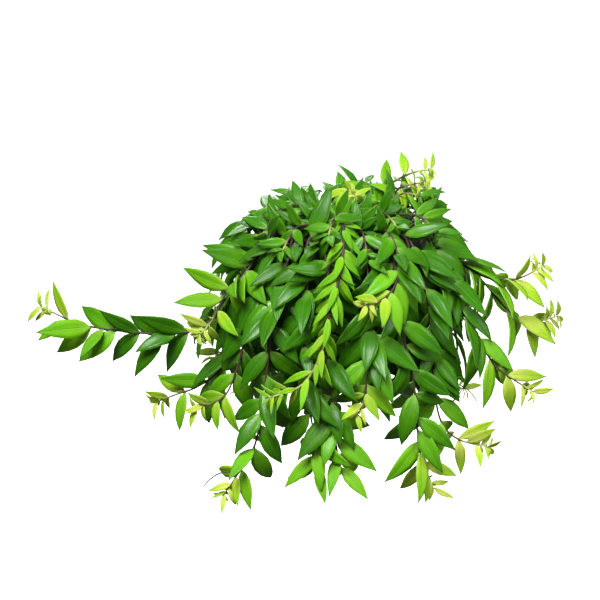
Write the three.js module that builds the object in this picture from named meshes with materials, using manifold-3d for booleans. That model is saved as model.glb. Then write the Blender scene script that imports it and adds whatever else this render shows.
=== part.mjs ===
// A trailing basket vine in its hanging pot: a plastic pot, the potting mix in it, and the leafy stems
// that arch over its rim and hang free all round. Millimetres, +Z up, origin at the middle of the
// underside of the pot. Seen in front view, the eye looks along +Y and +X is to the right.
import * as THREE from 'three';
import { mergeVertices } from 'three/addons/utils/BufferGeometryUtils.js';
import Module from 'manifold-3d';

const wasm = await Module();
wasm.setup();

// Pot
const POT_HEIGHT = 140;
const POT_BASE_RADIUS = 56;
const POT_NECK_RADIUS = 73.5;
const LIP_RADIUS = 80;
const LIP_DEPTH = 15;
const POT_WALL = 2.2;
const POT_EDGE = 1.5;
const POT_SIDES = 24;
const DRAIN_COUNT = 6;
const DRAIN_RADIUS = 4.5;
const DRAIN_RING_RADIUS = 36;
const DRAIN_SIDES = 6;

// Potting mix
const SOIL_LEVEL = 122;
const SOIL_GAP = 0.6;
const SOIL_RINGS = [0.6];
const RELIEF_HEIGHT = 2.2;
const RELIEF_PITCH = 5;
const HOLE_RADIUS = 3.9;
const HOLE_SIDES = 4;

// Stems
const ROOT_DEPTH = 20;
const HOLE_DEPTH = ROOT_DEPTH + 0.5;
const STEM_RISE = 4;
const STEM_SIDES = 4;
const STEM_BASE_RADIUS = 1.7;
const STEM_TIP_RADIUS = 0.8;
const STEM_STEP = 29;

// Leaf blades: half-width is SCALE * share^FOOT * (1 - share)^TIP, which is 1 at its widest
const LEAF_LENGTH = 58;
const YOUNG_SLENDERNESS = 3.7;
const OLD_SLENDERNESS = 3.2;
const OUTLINE_SCALE = 2.87;
const OUTLINE_FOOT = 0.65;
const OUTLINE_TIP = 0.9;
const OLD_THICKNESS = 1.6;
const YOUNG_THICKNESS = 0.9;
const LEAF_FOLD = 0.2;
const ROOT_SINK = 0.2;
const YOUNG_SIZE = 0.62;
const YOUNG_STATIONS = [0.42];
const OLD_STATIONS = [0.27, 0.63];

// Leaf pairs along a stem: turned crosswise at its end and in two ranks where it is old
const YOUNG_LENGTH = 52;
const RIM_LENGTH = 110;
const BARE_FOOT = 14;
const END_GAP = 2;
const TIP_SPACING = 12;
const TIP_LENGTH = 30;
const YOUNG_OPENING = 1.1;
const SAG = 0.3;
const PAIR_TWIST = [62, 24];
const TWIST_LENGTH = 40;

// Where leaf faces look: outward on the sides, upward on the crown, and to the bright front on the
// shoots that reach far out
const SIDE_LIGHT = { outward: 1, up: 0.35 };
const CROWN_LIGHT = { outward: 0.5, up: 0.85, front: 0.5 };
const SIDE_HEIGHT = 100;
const CROWN_RISE = 60;
const FRONT_LIGHT = [0.25, 1.3];
const FRONT_REACH = 110;
const FRONT_RISE = 70;

// How far a leaf may stray from its rule, at the first trial and at the last
const TRIALS = 11;
const SPIN_RANGE = [0.16, 1.26];
const OPENING_RANGE = [0.12, 0.52];
const SHRINK_RANGE = [0.18, 0.45];
const ROLL_RANGE = 0.35;
const SWAY_RANGE = 0.07;
const BEND_LIMITS = [0.35, 0.95];
const BREADTH_LIMITS = [0.92, 1.1];

// Room that each leaf keeps
const SAMPLE_PITCH = 3.6;
const LEAF_CLEARANCE = 3.7;
const STEM_CLEARANCE = 3.8;
const POT_CLEARANCE = 3.5;
const OWN_FOOT = 0.24;
const CELL = 8;

const SEED = 20731;
const TURN = Math.PI * 2;
const UP = new THREE.Vector3(0, 0, 1);
const FRONT = new THREE.Vector3(0, -1, 0);

// The shoots that give the plant its outline. Each has the place of its foot in the mix, how its leaf
// pairs are turned about the stem in degrees, how far its old leaves open from the stem in radians, how
// it is leaved where that isn't plain, and the points that its stem passes.
const PLACED_SHOOTS = [
  { name: 'shoot_left_long', foot: [-48, -6], turn: 6, opening: 0.62,
    path: [[-76, -10, 150], [-107, -14, 88], [-139, -20, 47], [-174, -24, 39], [-220, -28, 43],
      [-262, -32, 52], [-300, -36, 72]] },
  { name: 'shoot_left_upper', foot: [-40, -22], turn: -8, opening: 1.5,
    path: [[-68, -36, 152], [-88, -58, 126], [-100, -66, 111], [-116, -72, 95], [-128, -78, 72],
      [-142, -82, 56]] },
  { name: 'shoot_left_middle', foot: [-52, -20], turn: 10, opening: 0.8,
    path: [[-76, -27, 147], [-97, -32, 110], [-104, -44, 50], [-119, -50, 16], [-143, -55, -4],
      [-168, -58, -13], [-187, -60, -20]] },
  { name: 'shoot_left_lower', foot: [-42, -38], turn: 15, opening: 0.8,
    path: [[-60, -54, 147], [-74, -70, 122], [-84, -86, 90], [-97, -92, 56], [-107, -98, 23],
      [-119, -102, 1], [-145, -106, -7]] },
  { name: 'shoot_bottom_left', foot: [-32, -48], turn: 5, opening: 0.9,
    path: [[-46, -66, 148], [-60, -86, 122], [-70, -104, 80], [-75, -112, 43], [-81, -118, -7],
      [-89, -122, -42], [-104, -125, -67], [-118, -128, -88]] },
  { name: 'shoot_bottom_middle_left', foot: [-20, -52], turn: -12, opening: 1.1, habit: 'blunt',
    path: [[-29, -74, 148], [-38, -98, 116], [-41, -114, 60], [-37, -120, 6], [-31, -122, -33],
      [-28, -124, -62]] },
  { name: 'shoot_bottom_middle', foot: [-6, -56], turn: 8, opening: 1.25, habit: 'blunt',
    path: [[-11, -78, 149], [-20, -102, 116], [-19, -116, 50], [-14, -122, -3], [-11, -124, -36],
      [-6, -125, -62]] },
  { name: 'shoot_front_pale', foot: [-6, -30], turn: 70, opening: 0.42, habit: 'slender',
    path: [[-6, -52, 166], [-4, -84, 156], [-8, -112, 128], [-18, -128, 96], [-25, -137, 61],
      [-43, -144, 31], [-74, -150, 20]] },
  { name: 'shoot_front_middle', foot: [22, -42], turn: -8, opening: 0.8,
    path: [[36, -70, 158], [46, -98, 138], [42, -119, 118], [28, -132, 108], [14, -140, 106]] },
  { name: 'shoot_front_lower', foot: [8, -52], turn: 0, opening: 1.05,
    path: [[13, -77, 149], [19, -104, 116], [22, -119, 66], [18, -126, 33], [14, -132, 8],
      [8, -136, -4]] },
  { name: 'shoot_bottom_right', foot: [28, -48], turn: 0, opening: 1.0,
    path: [[37, -72, 149], [44, -100, 120], [47, -115, 82], [56, -119, 51], [62, -121, 21],
      [66, -121, -24], [71, -120, -54], [84, -118, -87]] },
  { name: 'shoot_right_bottom', foot: [40, -38], turn: 12, opening: 1.0,
    path: [[56, -56, 148], [72, -76, 112], [80, -86, 60], [83, -92, 14], [90, -96, -24],
      [107, -100, -42], [137, -106, -48]] },
  { name: 'shoot_right_front', foot: [50, -24], turn: 0, opening: 0.65,
    path: [[70, -38, 149], [92, -58, 116], [108, -64, 82], [118, -66, 63], [133, -68, 38],
      [148, -70, 18], [182, -74, -4]] },
  { name: 'shoot_right_out', foot: [46, -6], turn: 35, opening: 0.75,
    path: [[76, -9, 150], [105, -13, 116], [132, -18, 98], [151, -20, 94], [171, -22, 96],
      [194, -24, 110]] },
  { name: 'shoot_right_curl', foot: [50, 10], turn: 20, opening: 0.75,
    path: [[77, 12, 148], [108, 10, 112], [138, 5, 84], [157, 1, 62], [171, -2, 50], [188, -5, 45],
      [213, -8, 52]] },
  { name: 'shoot_top_right', foot: [26, 14], turn: 40, opening: 1.2, habit: 'upright',
    path: [[38, 20, 146], [44, 22, 162], [52, 20, 175], [64, 16, 181], [81, 12, 184]] },
  { name: 'shoot_top_right_tall', foot: [16, 24], turn: 10, opening: 1.3, habit: 'upright',
    path: [[22, 31, 146], [34, 34, 168], [52, 32, 182], [70, 28, 191], [87, 26, 194]] },
  { name: 'shoot_crown_star', foot: [-8, 22], turn: 20, opening: 1.0, habit: 'upright',
    path: [[-6, 26, 150], [-2, 18, 171], [3, -2, 181], [8, -25, 179]] },
];

// Short shoots that arch over the crown: azimuth, then reach and height of the stem's end
const CROWN_SHOOTS = [
  { azimuth: 258, reach: 90, height: 156 },
  { azimuth: 280, reach: 104, height: 136 },
  { azimuth: 304, reach: 84, height: 160 },
  { azimuth: 330, reach: 100, height: 150 },
  { azimuth: 232, reach: 102, height: 138 },
  { azimuth: 200, reach: 72, height: 162 },
  { azimuth: 168, reach: 96, height: 140 },
  { azimuth: 140, reach: 74, height: 158 },
  { azimuth: 72, reach: 72, height: 170 },
  { azimuth: 36, reach: 98, height: 156 },
  { azimuth: 4, reach: 74, height: 172 },
];
const CROWN_NEAR = { foot: 13, neck: 20, turn: -14 };
const CROWN_FAR = { foot: 24, neck: 30, turn: 14 };
const CROWN_NECK_HEIGHT = 150;
const CROWN_SHOULDER = { reach: 46, height: 168 };
const CROWN_ARCH = { reach: 0.78, height: 178 };

// Shoots that hang from the sides and the back: azimuth, reach at the hanging part, height of the end
const TRAILING_SHOOTS = [
  { azimuth: 173, reach: 116, end: -6 },
  { azimuth: 158, reach: 128, end: 34 },
  { azimuth: 143, reach: 112, end: -62 },
  { azimuth: 127, reach: 130, end: 12 },
  { azimuth: 111, reach: 114, end: -96 },
  { azimuth: 95, reach: 128, end: 30 },
  { azimuth: 79, reach: 112, end: -74 },
  { azimuth: 63, reach: 130, end: 4 },
  { azimuth: 47, reach: 114, end: -104 },
  { azimuth: 32, reach: 128, end: 22 },
  { azimuth: 18, reach: 116, end: -50 },
];
const TRAILING_OUTER_REACH = 120;
const TRAILING_OUTER = { foot: 34, rim: [62, 154], shoulder: 134 };
const TRAILING_INNER = { foot: 54, rim: [76, 149], shoulder: 132 };
const TRAILING_ARCH = 0.84;
const TRAILING_KNEE = 0.96;
const TRAILING_DROP = 100;
const TRAILING_SWAY = 5;
const TRAILING_SWAY_SHARES = [0.4, 1, 1.5];
const TRAILING_FLARE = { near: 6, far: 22, rise: 16 };
const TRAILING_TURN = 25;

// Shoots that hug the wall of the pot with large old leaves: azimuth and height of the end
const INNER_SHOOTS = [
  { azimuth: 194, end: 2 },
  { azimuth: 214, end: 20 },
  { azimuth: 231, end: 4 },
  { azimuth: 243, end: 18 },
  { azimuth: 256, end: -8 },
  { azimuth: 284, end: 12 },
  { azimuth: 312, end: 14 },
  { azimuth: 343, end: 16 },
  { azimuth: 1, end: 2 },
];
const INNER_FOOT = 60;
const INNER_TURN = 8;
const INNER_RIM = [79, 150];
const INNER_BEND = [90, 126];
const INNER_DROP = [92, 84];
const INNER_END_REACH = 94;

// How a kind of shoot is leaved: share of full size at its end and far from it, how much smaller its
// leaves are at the pot's rim, distance between old pairs, how far its old leaves open, and how broad
// they are where that isn't plain
const PLACED_HABITS = {
  plain: { youngest: 0.38, oldest: 1, atRim: 0.7, spacing: 24 },
  blunt: { youngest: 0.78, oldest: 1, atRim: 0.7, spacing: 24 },
  slender: { youngest: 0.32, oldest: 0.62, atRim: 0.8, spacing: 15, breadth: 0.7 },
  upright: { youngest: 0.34, oldest: 0.78, atRim: 1, spacing: 19 },
};
const TRAILING_HABIT = { youngest: 0.42, oldest: 1, atRim: 1, spacing: 48, opening: 0.8 };
const CROWN_HABIT = { youngest: 0.5, oldest: 0.66, atRim: 1, spacing: 18, opening: 0.95 };
const INNER_HABIT = { youngest: 0.8, oldest: 0.95, atRim: 1, spacing: 34, opening: 1 };

// Mulberry32: the same draws on every run
function makeRandom(seed) {
  let state = seed;
  return () => {
    state = (state + 0x6d2b79f5) | 0;
    let t = Math.imul(state ^ (state >>> 15), 1 | state);
    t = (t + Math.imul(t ^ (t >>> 7), 61 | t)) ^ t;
    return ((t ^ (t >>> 14)) >>> 0) / 4294967296;
  };
}

function mix(low, high, share) {
  return low + (high - low) * share;
}

function smoothstep(x) {
  const t = Math.min(Math.max(x, 0), 1);
  return t * t * (3 - 2 * t);
}

function toRadians(degrees) {
  return (degrees * TURN) / 360;
}

function polar(azimuth, radius, height) {
  const angle = toRadians(azimuth);
  return [radius * Math.cos(angle), radius * Math.sin(angle), height];
}

// Solids

function toManifold(geometry) {
  const bare = geometry.clone();
  bare.deleteAttribute('normal');
  bare.deleteAttribute('uv');
  const merged = mergeVertices(bare, 1e-4);
  return new wasm.Manifold(new wasm.Mesh({
    numProp: 3,
    vertProperties: new Float32Array(merged.attributes.position.array),
    triVerts: new Uint32Array(merged.index.array),
  }));
}

function toGeometry(solid) {
  const mesh = solid.getMesh();
  const geometry = new THREE.BufferGeometry();
  geometry.setAttribute('position', new THREE.BufferAttribute(new Float32Array(mesh.vertProperties), 3));
  geometry.setIndex(new THREE.BufferAttribute(new Uint32Array(mesh.triVerts), 1));
  geometry.computeVertexNormals();
  return geometry;
}

function latheAlongZ(profile, sides) {
  const points = profile.map(([radius, height]) => new THREE.Vector2(radius, height));
  return new THREE.LatheGeometry(points, sides).rotateX(Math.PI / 2);
}

function uprightCylinder(radius, sides, low, high, [x, y]) {
  const geometry = new THREE.CylinderGeometry(radius, radius, high - low, sides);
  return geometry.rotateX(Math.PI / 2).translate(x, y, (low + high) / 2);
}

// Pot and potting mix

const LIP_UNDERSIDE = POT_HEIGHT - LIP_DEPTH;
const INNER_BASE_RADIUS = POT_BASE_RADIUS - POT_WALL;
const INNER_NECK_RADIUS = POT_NECK_RADIUS - POT_WALL;

function outerPotRadius(z) {
  return mix(POT_BASE_RADIUS, POT_NECK_RADIUS, z / LIP_UNDERSIDE);
}

function innerPotRadius(z) {
  return mix(INNER_BASE_RADIUS, INNER_NECK_RADIUS, (z - POT_WALL) / (LIP_UNDERSIDE - POT_WALL));
}

function makePot() {
  const profile = [
    [0, 0],
    [POT_BASE_RADIUS - POT_EDGE, 0],
    [outerPotRadius(POT_EDGE), POT_EDGE],
    [POT_NECK_RADIUS, LIP_UNDERSIDE],
    [LIP_RADIUS, LIP_UNDERSIDE],
    [LIP_RADIUS, POT_HEIGHT - POT_EDGE],
    [LIP_RADIUS - POT_EDGE, POT_HEIGHT],
    [LIP_RADIUS - POT_EDGE - POT_WALL, POT_HEIGHT],
    [INNER_NECK_RADIUS, LIP_UNDERSIDE],
    [INNER_BASE_RADIUS, POT_WALL],
    [0, POT_WALL],
  ];
  let pot = toManifold(latheAlongZ(profile, POT_SIDES));
  for (let i = 0; i < DRAIN_COUNT; i += 1) {
    const place = polar((i * 360) / DRAIN_COUNT, DRAIN_RING_RADIUS, 0);
    const drain = uprightCylinder(DRAIN_RADIUS, DRAIN_SIDES, -POT_WALL, POT_WALL * 2, place);
    pot = pot.subtract(toManifold(drain));
  }
  return toGeometry(pot);
}

// The mix fills the pot up to a crumbly top, with a plain hole for the foot of each stem
function makeSoil(shoots) {
  const floor = POT_WALL + SOIL_GAP;
  const topRadius = innerPotRadius(SOIL_LEVEL) - SOIL_GAP;
  const profile = [
    [0, floor],
    [innerPotRadius(floor) - SOIL_GAP, floor],
    [topRadius, SOIL_LEVEL],
    ...SOIL_RINGS.map((share) => [topRadius * share, SOIL_LEVEL]),
    [0, SOIL_LEVEL],
  ];
  const geometry = latheAlongZ(profile, POT_SIDES);
  const position = geometry.attributes.position;
  for (let i = 0; i < position.count; i += 1) {
    const x = position.getX(i);
    const y = position.getY(i);
    if (position.getZ(i) > floor + SOIL_GAP && Math.hypot(x, y) < topRadius - SOIL_GAP) {
      const relief = Math.sin(x / RELIEF_PITCH) * Math.cos(y / RELIEF_PITCH);
      position.setZ(i, SOIL_LEVEL + RELIEF_HEIGHT * relief);
    }
  }
  let soil = toManifold(geometry);
  for (const { foot } of shoots) {
    const top = SOIL_LEVEL + RELIEF_HEIGHT * 2;
    const hole = uprightCylinder(HOLE_RADIUS, HOLE_SIDES, SOIL_LEVEL - HOLE_DEPTH, top, foot);
    soil = soil.subtract(toManifold(hole));
  }
  return toGeometry(soil);
}

// Shoots

// A stem's line: straight up out of the mix, then a smooth curve through the points of its path
class StemCurve extends THREE.CatmullRomCurve3 {
  constructor([x, y], path) {
    const points = [[x, y, SOIL_LEVEL - ROOT_DEPTH], [x, y, SOIL_LEVEL + STEM_RISE], ...path];
    super(points.map((point) => new THREE.Vector3(...point)), false, 'catmullrom', 0.5);
  }

  stepCount() {
    return Math.ceil(this.getLength() / STEM_STEP);
  }

  // The middle of the faceted stem, which cuts each bend by a straight step
  core(share) {
    const steps = this.stepCount();
    const step = Math.min(Math.floor(share * steps), steps - 1);
    const from = this.getPointAt(step / steps);
    return from.lerp(this.getPointAt((step + 1) / steps), share * steps - step);
  }
}

function placedShoot({ habit = 'plain', ...shoot }) {
  return { ...shoot, habit: PLACED_HABITS[habit] };
}

function crownShoot({ azimuth, reach, height }, index) {
  const form = index % 2 ? CROWN_FAR : CROWN_NEAR;
  return {
    name: `shoot_crown_${index + 1}`,
    habit: CROWN_HABIT,
    opening: CROWN_HABIT.opening,
    foot: polar(azimuth, form.foot, 0).slice(0, 2),
    turn: form.turn,
    path: [
      polar(azimuth, form.neck, CROWN_NECK_HEIGHT),
      polar(azimuth, CROWN_SHOULDER.reach, mix(CROWN_SHOULDER.height, height, 0.5)),
      polar(azimuth, reach * CROWN_ARCH.reach, mix(CROWN_ARCH.height, height, 0.5)),
      polar(azimuth, reach, height),
    ],
  };
}

function trailingShoot({ azimuth, reach, end }, index, random) {
  const sway = mix(-TRAILING_SWAY, TRAILING_SWAY, random());
  const azimuths = TRAILING_SWAY_SHARES.map((share) => azimuth + sway * share);
  const form = reach > TRAILING_OUTER_REACH ? TRAILING_OUTER : TRAILING_INNER;
  return {
    name: `shoot_trailing_${index + 1}`,
    habit: TRAILING_HABIT,
    opening: TRAILING_HABIT.opening,
    foot: polar(azimuth, form.foot, 0).slice(0, 2),
    turn: mix(-TRAILING_TURN, TRAILING_TURN, random()),
    path: [
      polar(azimuth, ...form.rim),
      polar(azimuth, reach * TRAILING_ARCH, form.shoulder),
      polar(azimuth, reach * TRAILING_KNEE, TRAILING_DROP),
      polar(azimuths[0], reach, mix(TRAILING_DROP, end, 0.5)),
      polar(azimuths[1], reach + TRAILING_FLARE.near, end + TRAILING_FLARE.rise),
      polar(azimuths[2], reach + TRAILING_FLARE.far, end),
    ],
  };
}

function innerShoot({ azimuth, end }, index) {
  const [reach, drop] = INNER_DROP;
  return {
    name: `shoot_inner_${index + 1}`,
    habit: INNER_HABIT,
    opening: INNER_HABIT.opening,
    foot: polar(azimuth, INNER_FOOT, 0).slice(0, 2),
    turn: index % 2 ? INNER_TURN : -INNER_TURN,
    path: [
      polar(azimuth, ...INNER_RIM),
      polar(azimuth, ...INNER_BEND),
      polar(azimuth, reach, drop),
      polar(azimuth, reach, mix(drop, end, 0.5)),
      polar(azimuth, INNER_END_REACH, end),
    ],
  };
}

// Leaves

function leafOutline(share) {
  if (share <= 0 || share >= 1) {
    return 0;
  }
  return OUTLINE_SCALE * share ** OUTLINE_FOOT * (1 - share) ** OUTLINE_TIP;
}

// The way the leaf faces turn at a place on a stem
function lightAt(point) {
  const outward = new THREE.Vector3(point.x, point.y, 0).normalize();
  const height = smoothstep((point.z - SIDE_HEIGHT) / CROWN_RISE);
  const reach = smoothstep((Math.hypot(point.x, point.y) - FRONT_REACH) / FRONT_RISE);
  return outward.multiplyScalar(mix(SIDE_LIGHT.outward, CROWN_LIGHT.outward, height))
    .addScaledVector(UP, mix(SIDE_LIGHT.up, CROWN_LIGHT.up, height))
    .addScaledVector(FRONT, mix(...FRONT_LIGHT, reach) + CROWN_LIGHT.front * height)
    .normalize();
}

// A leaf's frame: its foot, the way it points, the way its face looks and its bends
function poseLeaf(node, choice) {
  const { point, tangent, side, size, light } = node;
  const spin = node.spin + choice.spin;
  const reference = new THREE.Vector3().crossVectors(tangent, light).normalize();
  const other = new THREE.Vector3().crossVectors(reference, tangent);
  const sideways = reference.multiplyScalar(Math.cos(spin) * side)
    .addScaledVector(other, Math.sin(spin) * side);
  const opening = mix(YOUNG_OPENING, node.shoot.opening, size) + choice.opening;
  const along = tangent.clone().multiplyScalar(Math.cos(opening))
    .addScaledVector(sideways, Math.sin(opening))
    .addScaledVector(UP, -SAG * size)
    .normalize();
  const face = light.clone().addScaledVector(along, -light.dot(along)).normalize();
  const across = new THREE.Vector3().crossVectors(face, along);
  face.multiplyScalar(Math.cos(choice.roll)).addScaledVector(across, Math.sin(choice.roll));
  across.crossVectors(face, along);
  const length = LEAF_LENGTH * size * choice.scale;
  const slenderness = mix(YOUNG_SLENDERNESS, OLD_SLENDERNESS, size);
  const { breadth = 1 } = node.shoot.habit;
  return {
    point, along, face, across, length, size,
    thickness: mix(YOUNG_THICKNESS, OLD_THICKNESS, size),
    halfWidth: (length / slenderness / 2) * choice.breadth * breadth,
    bend: choice.bend,
    sway: choice.sway,
  };
}

// A point of the blade: share runs from foot to tip, side from -1 to 1 across, depth is below the face
function leafPoint(leaf, share, side, depth) {
  const turned = leaf.bend * share;
  const forward = (leaf.length * Math.sin(turned)) / leaf.bend;
  const back = (leaf.length * (1 - Math.cos(turned))) / leaf.bend;
  const half = leaf.halfWidth * leafOutline(share);
  const rise = Math.abs(side) * half * LEAF_FOLD - depth;
  return leaf.point.clone()
    .addScaledVector(leaf.along, forward + rise * Math.sin(turned))
    .addScaledVector(leaf.face, rise * Math.cos(turned) - back)
    .addScaledVector(leaf.across, side * half + leaf.sway * leaf.length * share * share);
}

// The blade as a solid: a three-sided ball drawn out into foot, two edges, keel and tip
function leafSolid(leaf) {
  const stations = leaf.size > YOUNG_SIZE ? OLD_STATIONS : YOUNG_STATIONS;
  const foot = leaf.point.clone().addScaledVector(leaf.along, -ROOT_SINK);
  const tip = leafPoint(leaf, 1, 0, 0);
  const rings = [
    [foot, foot, foot],
    ...stations.map((share) => [
      leafPoint(leaf, share, -1, 0),
      leafPoint(leaf, share, 1, 0),
      leafPoint(leaf, share, 0, leaf.thickness),
    ]),
    [tip, tip, tip],
  ];
  const geometry = new THREE.SphereGeometry(1, 3, stations.length + 1);
  rings.forEach((ring, row) => {
    [...ring, ring[0]].forEach((place, column) => {
      geometry.attributes.position.setXYZ(row * 4 + column, place.x, place.y, place.z);
    });
  });
  return toManifold(geometry);
}

function stemSolid(curve) {
  const steps = curve.stepCount();
  const frames = curve.computeFrenetFrames(steps, false);
  const geometry = new THREE.CylinderGeometry(1, 1, 1, STEM_SIDES, steps);
  const position = geometry.attributes.position;
  for (let i = 0; i < position.count; i += 1) {
    const step = Math.round((0.5 - position.getY(i)) * steps);
    const share = step / steps;
    const radius = mix(STEM_BASE_RADIUS, STEM_TIP_RADIUS, share);
    const place = curve.getPointAt(share)
      .addScaledVector(frames.normals[step], position.getX(i) * radius)
      .addScaledVector(frames.binormals[step], position.getZ(i) * radius);
    position.setXYZ(i, place.x, place.y, place.z);
  }
  return toManifold(geometry);
}

// True outside the pot, and inside it above the mix
function clearsPot(point) {
  if (point.z > POT_HEIGHT + POT_CLEARANCE || point.z < -POT_CLEARANCE) {
    return true;
  }
  const radius = Math.hypot(point.x, point.y);
  const besideLip = point.z > LIP_UNDERSIDE - POT_CLEARANCE;
  const wall = besideLip ? LIP_RADIUS : outerPotRadius(point.z);
  const mouth = INNER_NECK_RADIUS - POT_CLEARANCE;
  const mixTop = SOIL_LEVEL + RELIEF_HEIGHT + POT_CLEARANCE;
  return radius > wall + POT_CLEARANCE || (radius < mouth && point.z > mixTop);
}

// Taken room: points in a grid of cells, each with its owner and the distance that it keeps
class Room {
  constructor() {
    this.cells = new Map();
  }

  static key(x, y, z) {
    return `${Math.floor(x / CELL)},${Math.floor(y / CELL)},${Math.floor(z / CELL)}`;
  }

  take(point, owner, distance) {
    const key = Room.key(point.x, point.y, point.z);
    if (!this.cells.has(key)) {
      this.cells.set(key, []);
    }
    this.cells.get(key).push({ point, owner, distance });
  }

  isFree(point, friend) {
    if (!clearsPot(point)) {
      return false;
    }
    for (let dx = -CELL; dx <= CELL; dx += CELL) {
      for (let dy = -CELL; dy <= CELL; dy += CELL) {
        for (let dz = -CELL; dz <= CELL; dz += CELL) {
          const cell = this.cells.get(Room.key(point.x + dx, point.y + dy, point.z + dz)) ?? [];
          if (cell.some((spot) => spot.owner !== friend && spot.point.distanceTo(point) < spot.distance)) {
            return false;
          }
        }
      }
    }
    return true;
  }
}

function leafSamples(leaf) {
  const rows = Math.max(3, Math.ceil(leaf.length / SAMPLE_PITCH));
  const samples = [];
  for (let row = 1; row <= rows; row += 1) {
    const share = row / rows;
    const columns = Math.ceil((leaf.halfWidth * leafOutline(share)) / SAMPLE_PITCH);
    for (let column = -columns; column <= columns; column += 1) {
      samples.push({ share, point: leafPoint(leaf, share, columns ? column / columns : 0, 0) });
    }
  }
  return samples;
}

// Where the leaf pairs sit, from the stem's end back to its foot: crowded at the end, wide apart when old
function pairDistances(length, spacing) {
  const distances = [];
  let fromEnd = END_GAP;
  while (fromEnd < length - BARE_FOOT - ROOT_DEPTH) {
    distances.push(fromEnd);
    fromEnd += mix(TIP_SPACING, spacing, smoothstep(fromEnd / TIP_LENGTH));
  }
  return distances;
}

function drawChoice(random, slack) {
  return {
    spin: mix(-1, 1, random()) * mix(...SPIN_RANGE, slack),
    opening: mix(-1, 1, random()) * mix(...OPENING_RANGE, slack),
    roll: mix(-ROLL_RANGE, ROLL_RANGE, random()),
    bend: mix(...BEND_LIMITS, random()),
    sway: mix(-SWAY_RANGE, SWAY_RANGE, random()),
    breadth: mix(...BREADTH_LIMITS, random()),
    scale: 1 - mix(...SHRINK_RANGE, slack) * random(),
  };
}

// Share of full size: leaves are small at a stem's end, and at the rim on a long stem
function leafSize({ youngest, oldest, atRim }, fromEnd, fromMix) {
  const grown = oldest * mix(atRim, 1, smoothstep(fromMix / RIM_LENGTH));
  return mix(youngest, grown, smoothstep(fromEnd / YOUNG_LENGTH));
}

// The places for leaves, two at each node of each stem, the youngest first
function leafNodes(shoots) {
  const nodes = [];
  shoots.forEach((shoot, shootIndex) => {
    const length = shoot.curve.getLength();
    pairDistances(length, shoot.habit.spacing).forEach((fromEnd, pair) => {
      const share = 1 - fromEnd / length;
      const point = shoot.curve.core(share);
      const tangent = shoot.curve.getTangentAt(share);
      const size = leafSize(shoot.habit, fromEnd, length - ROOT_DEPTH - fromEnd);
      const twist = mix(...PAIR_TWIST, smoothstep(fromEnd / TWIST_LENGTH)) * (pair % 2 ? 1 : -1);
      const spin = toRadians(shoot.turn + twist);
      const light = lightAt(point);
      for (const side of [-1, 1]) {
        nodes.push({ shoot, shootIndex, point, tangent, side, size, light, spin, fromEnd });
      }
    });
  });
  return nodes.sort((a, b) => a.fromEnd - b.fromEnd || a.shootIndex - b.shootIndex || a.side - b.side);
}

// A leaf grows where it finds room: each trial lets it stray further from its rule
function growLeaves(shoots, room, random) {
  for (const node of leafNodes(shoots)) {
    const owner = node.shoot.name;
    for (let trial = 0; trial < TRIALS; trial += 1) {
      const leaf = poseLeaf(node, drawChoice(random, trial / TRIALS));
      const samples = leafSamples(leaf);
      if (samples.every(({ share, point }) => room.isFree(point, share < OWN_FOOT ? owner : null))) {
        samples.forEach(({ point }) => room.take(point, owner, LEAF_CLEARANCE));
        node.shoot.leaves.push(leaf);
        break;
      }
    }
  }
}

function takeStem(shoot, room) {
  const steps = Math.ceil(shoot.curve.getLength() / SAMPLE_PITCH);
  for (let i = 0; i <= steps; i += 1) {
    room.take(shoot.curve.getPointAt(i / steps), shoot.name, STEM_CLEARANCE);
  }
}

function makeShoot(shoot) {
  const solid = shoot.leaves.reduce((sum, leaf) => sum.add(leafSolid(leaf)), stemSolid(shoot.curve));
  return toGeometry(solid);
}

// Plant

const POT_FINISH = { color: 0x241a26, roughness: 0.5, metalness: 0 };
const SOIL_FINISH = { color: 0x2e2018, roughness: 1, metalness: 0 };
const FOLIAGE_FINISH = { color: 0x4f9a2a, roughness: 0.4, metalness: 0 };

function addPiece(group, name, geometry, finish) {
  const mesh = new THREE.Mesh(geometry, new THREE.MeshStandardMaterial(finish));
  mesh.name = name;
  group.add(mesh);
}

function buildPlant() {
  const random = makeRandom(SEED);
  const shoots = [
    ...PLACED_SHOOTS.map(placedShoot),
    ...TRAILING_SHOOTS.map((plan, index) => trailingShoot(plan, index, random)),
    ...CROWN_SHOOTS.map(crownShoot),
    ...INNER_SHOOTS.map(innerShoot),
  ].map((shoot) => ({ ...shoot, curve: new StemCurve(shoot.foot, shoot.path), leaves: [] }));
  const room = new Room();
  shoots.forEach((shoot) => takeStem(shoot, room));
  growLeaves(shoots, room, random);

  const plant = new THREE.Group();
  addPiece(plant, 'pot', makePot(), POT_FINISH);
  addPiece(plant, 'potting_mix', makeSoil(shoots), SOIL_FINISH);
  shoots.forEach((shoot) => addPiece(plant, shoot.name, makeShoot(shoot), FOLIAGE_FINISH));
  return plant;
}

export default buildPlant();
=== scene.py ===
"""A trailing basket vine in its hanging pot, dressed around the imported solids.

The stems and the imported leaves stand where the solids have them: the same rule lays them out again.
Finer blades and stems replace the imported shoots, and more leaves, buds and swollen joints are added.
Lengths in the layout are millimetres. Meshes are in metres, with the origin under the pot.
"""

import logging
import math
from collections.abc import Iterable, Sequence
from dataclasses import dataclass, field
from enum import Enum

import bmesh
import bpy
import numpy as np
from mathutils import Matrix, Vector, noise


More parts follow.
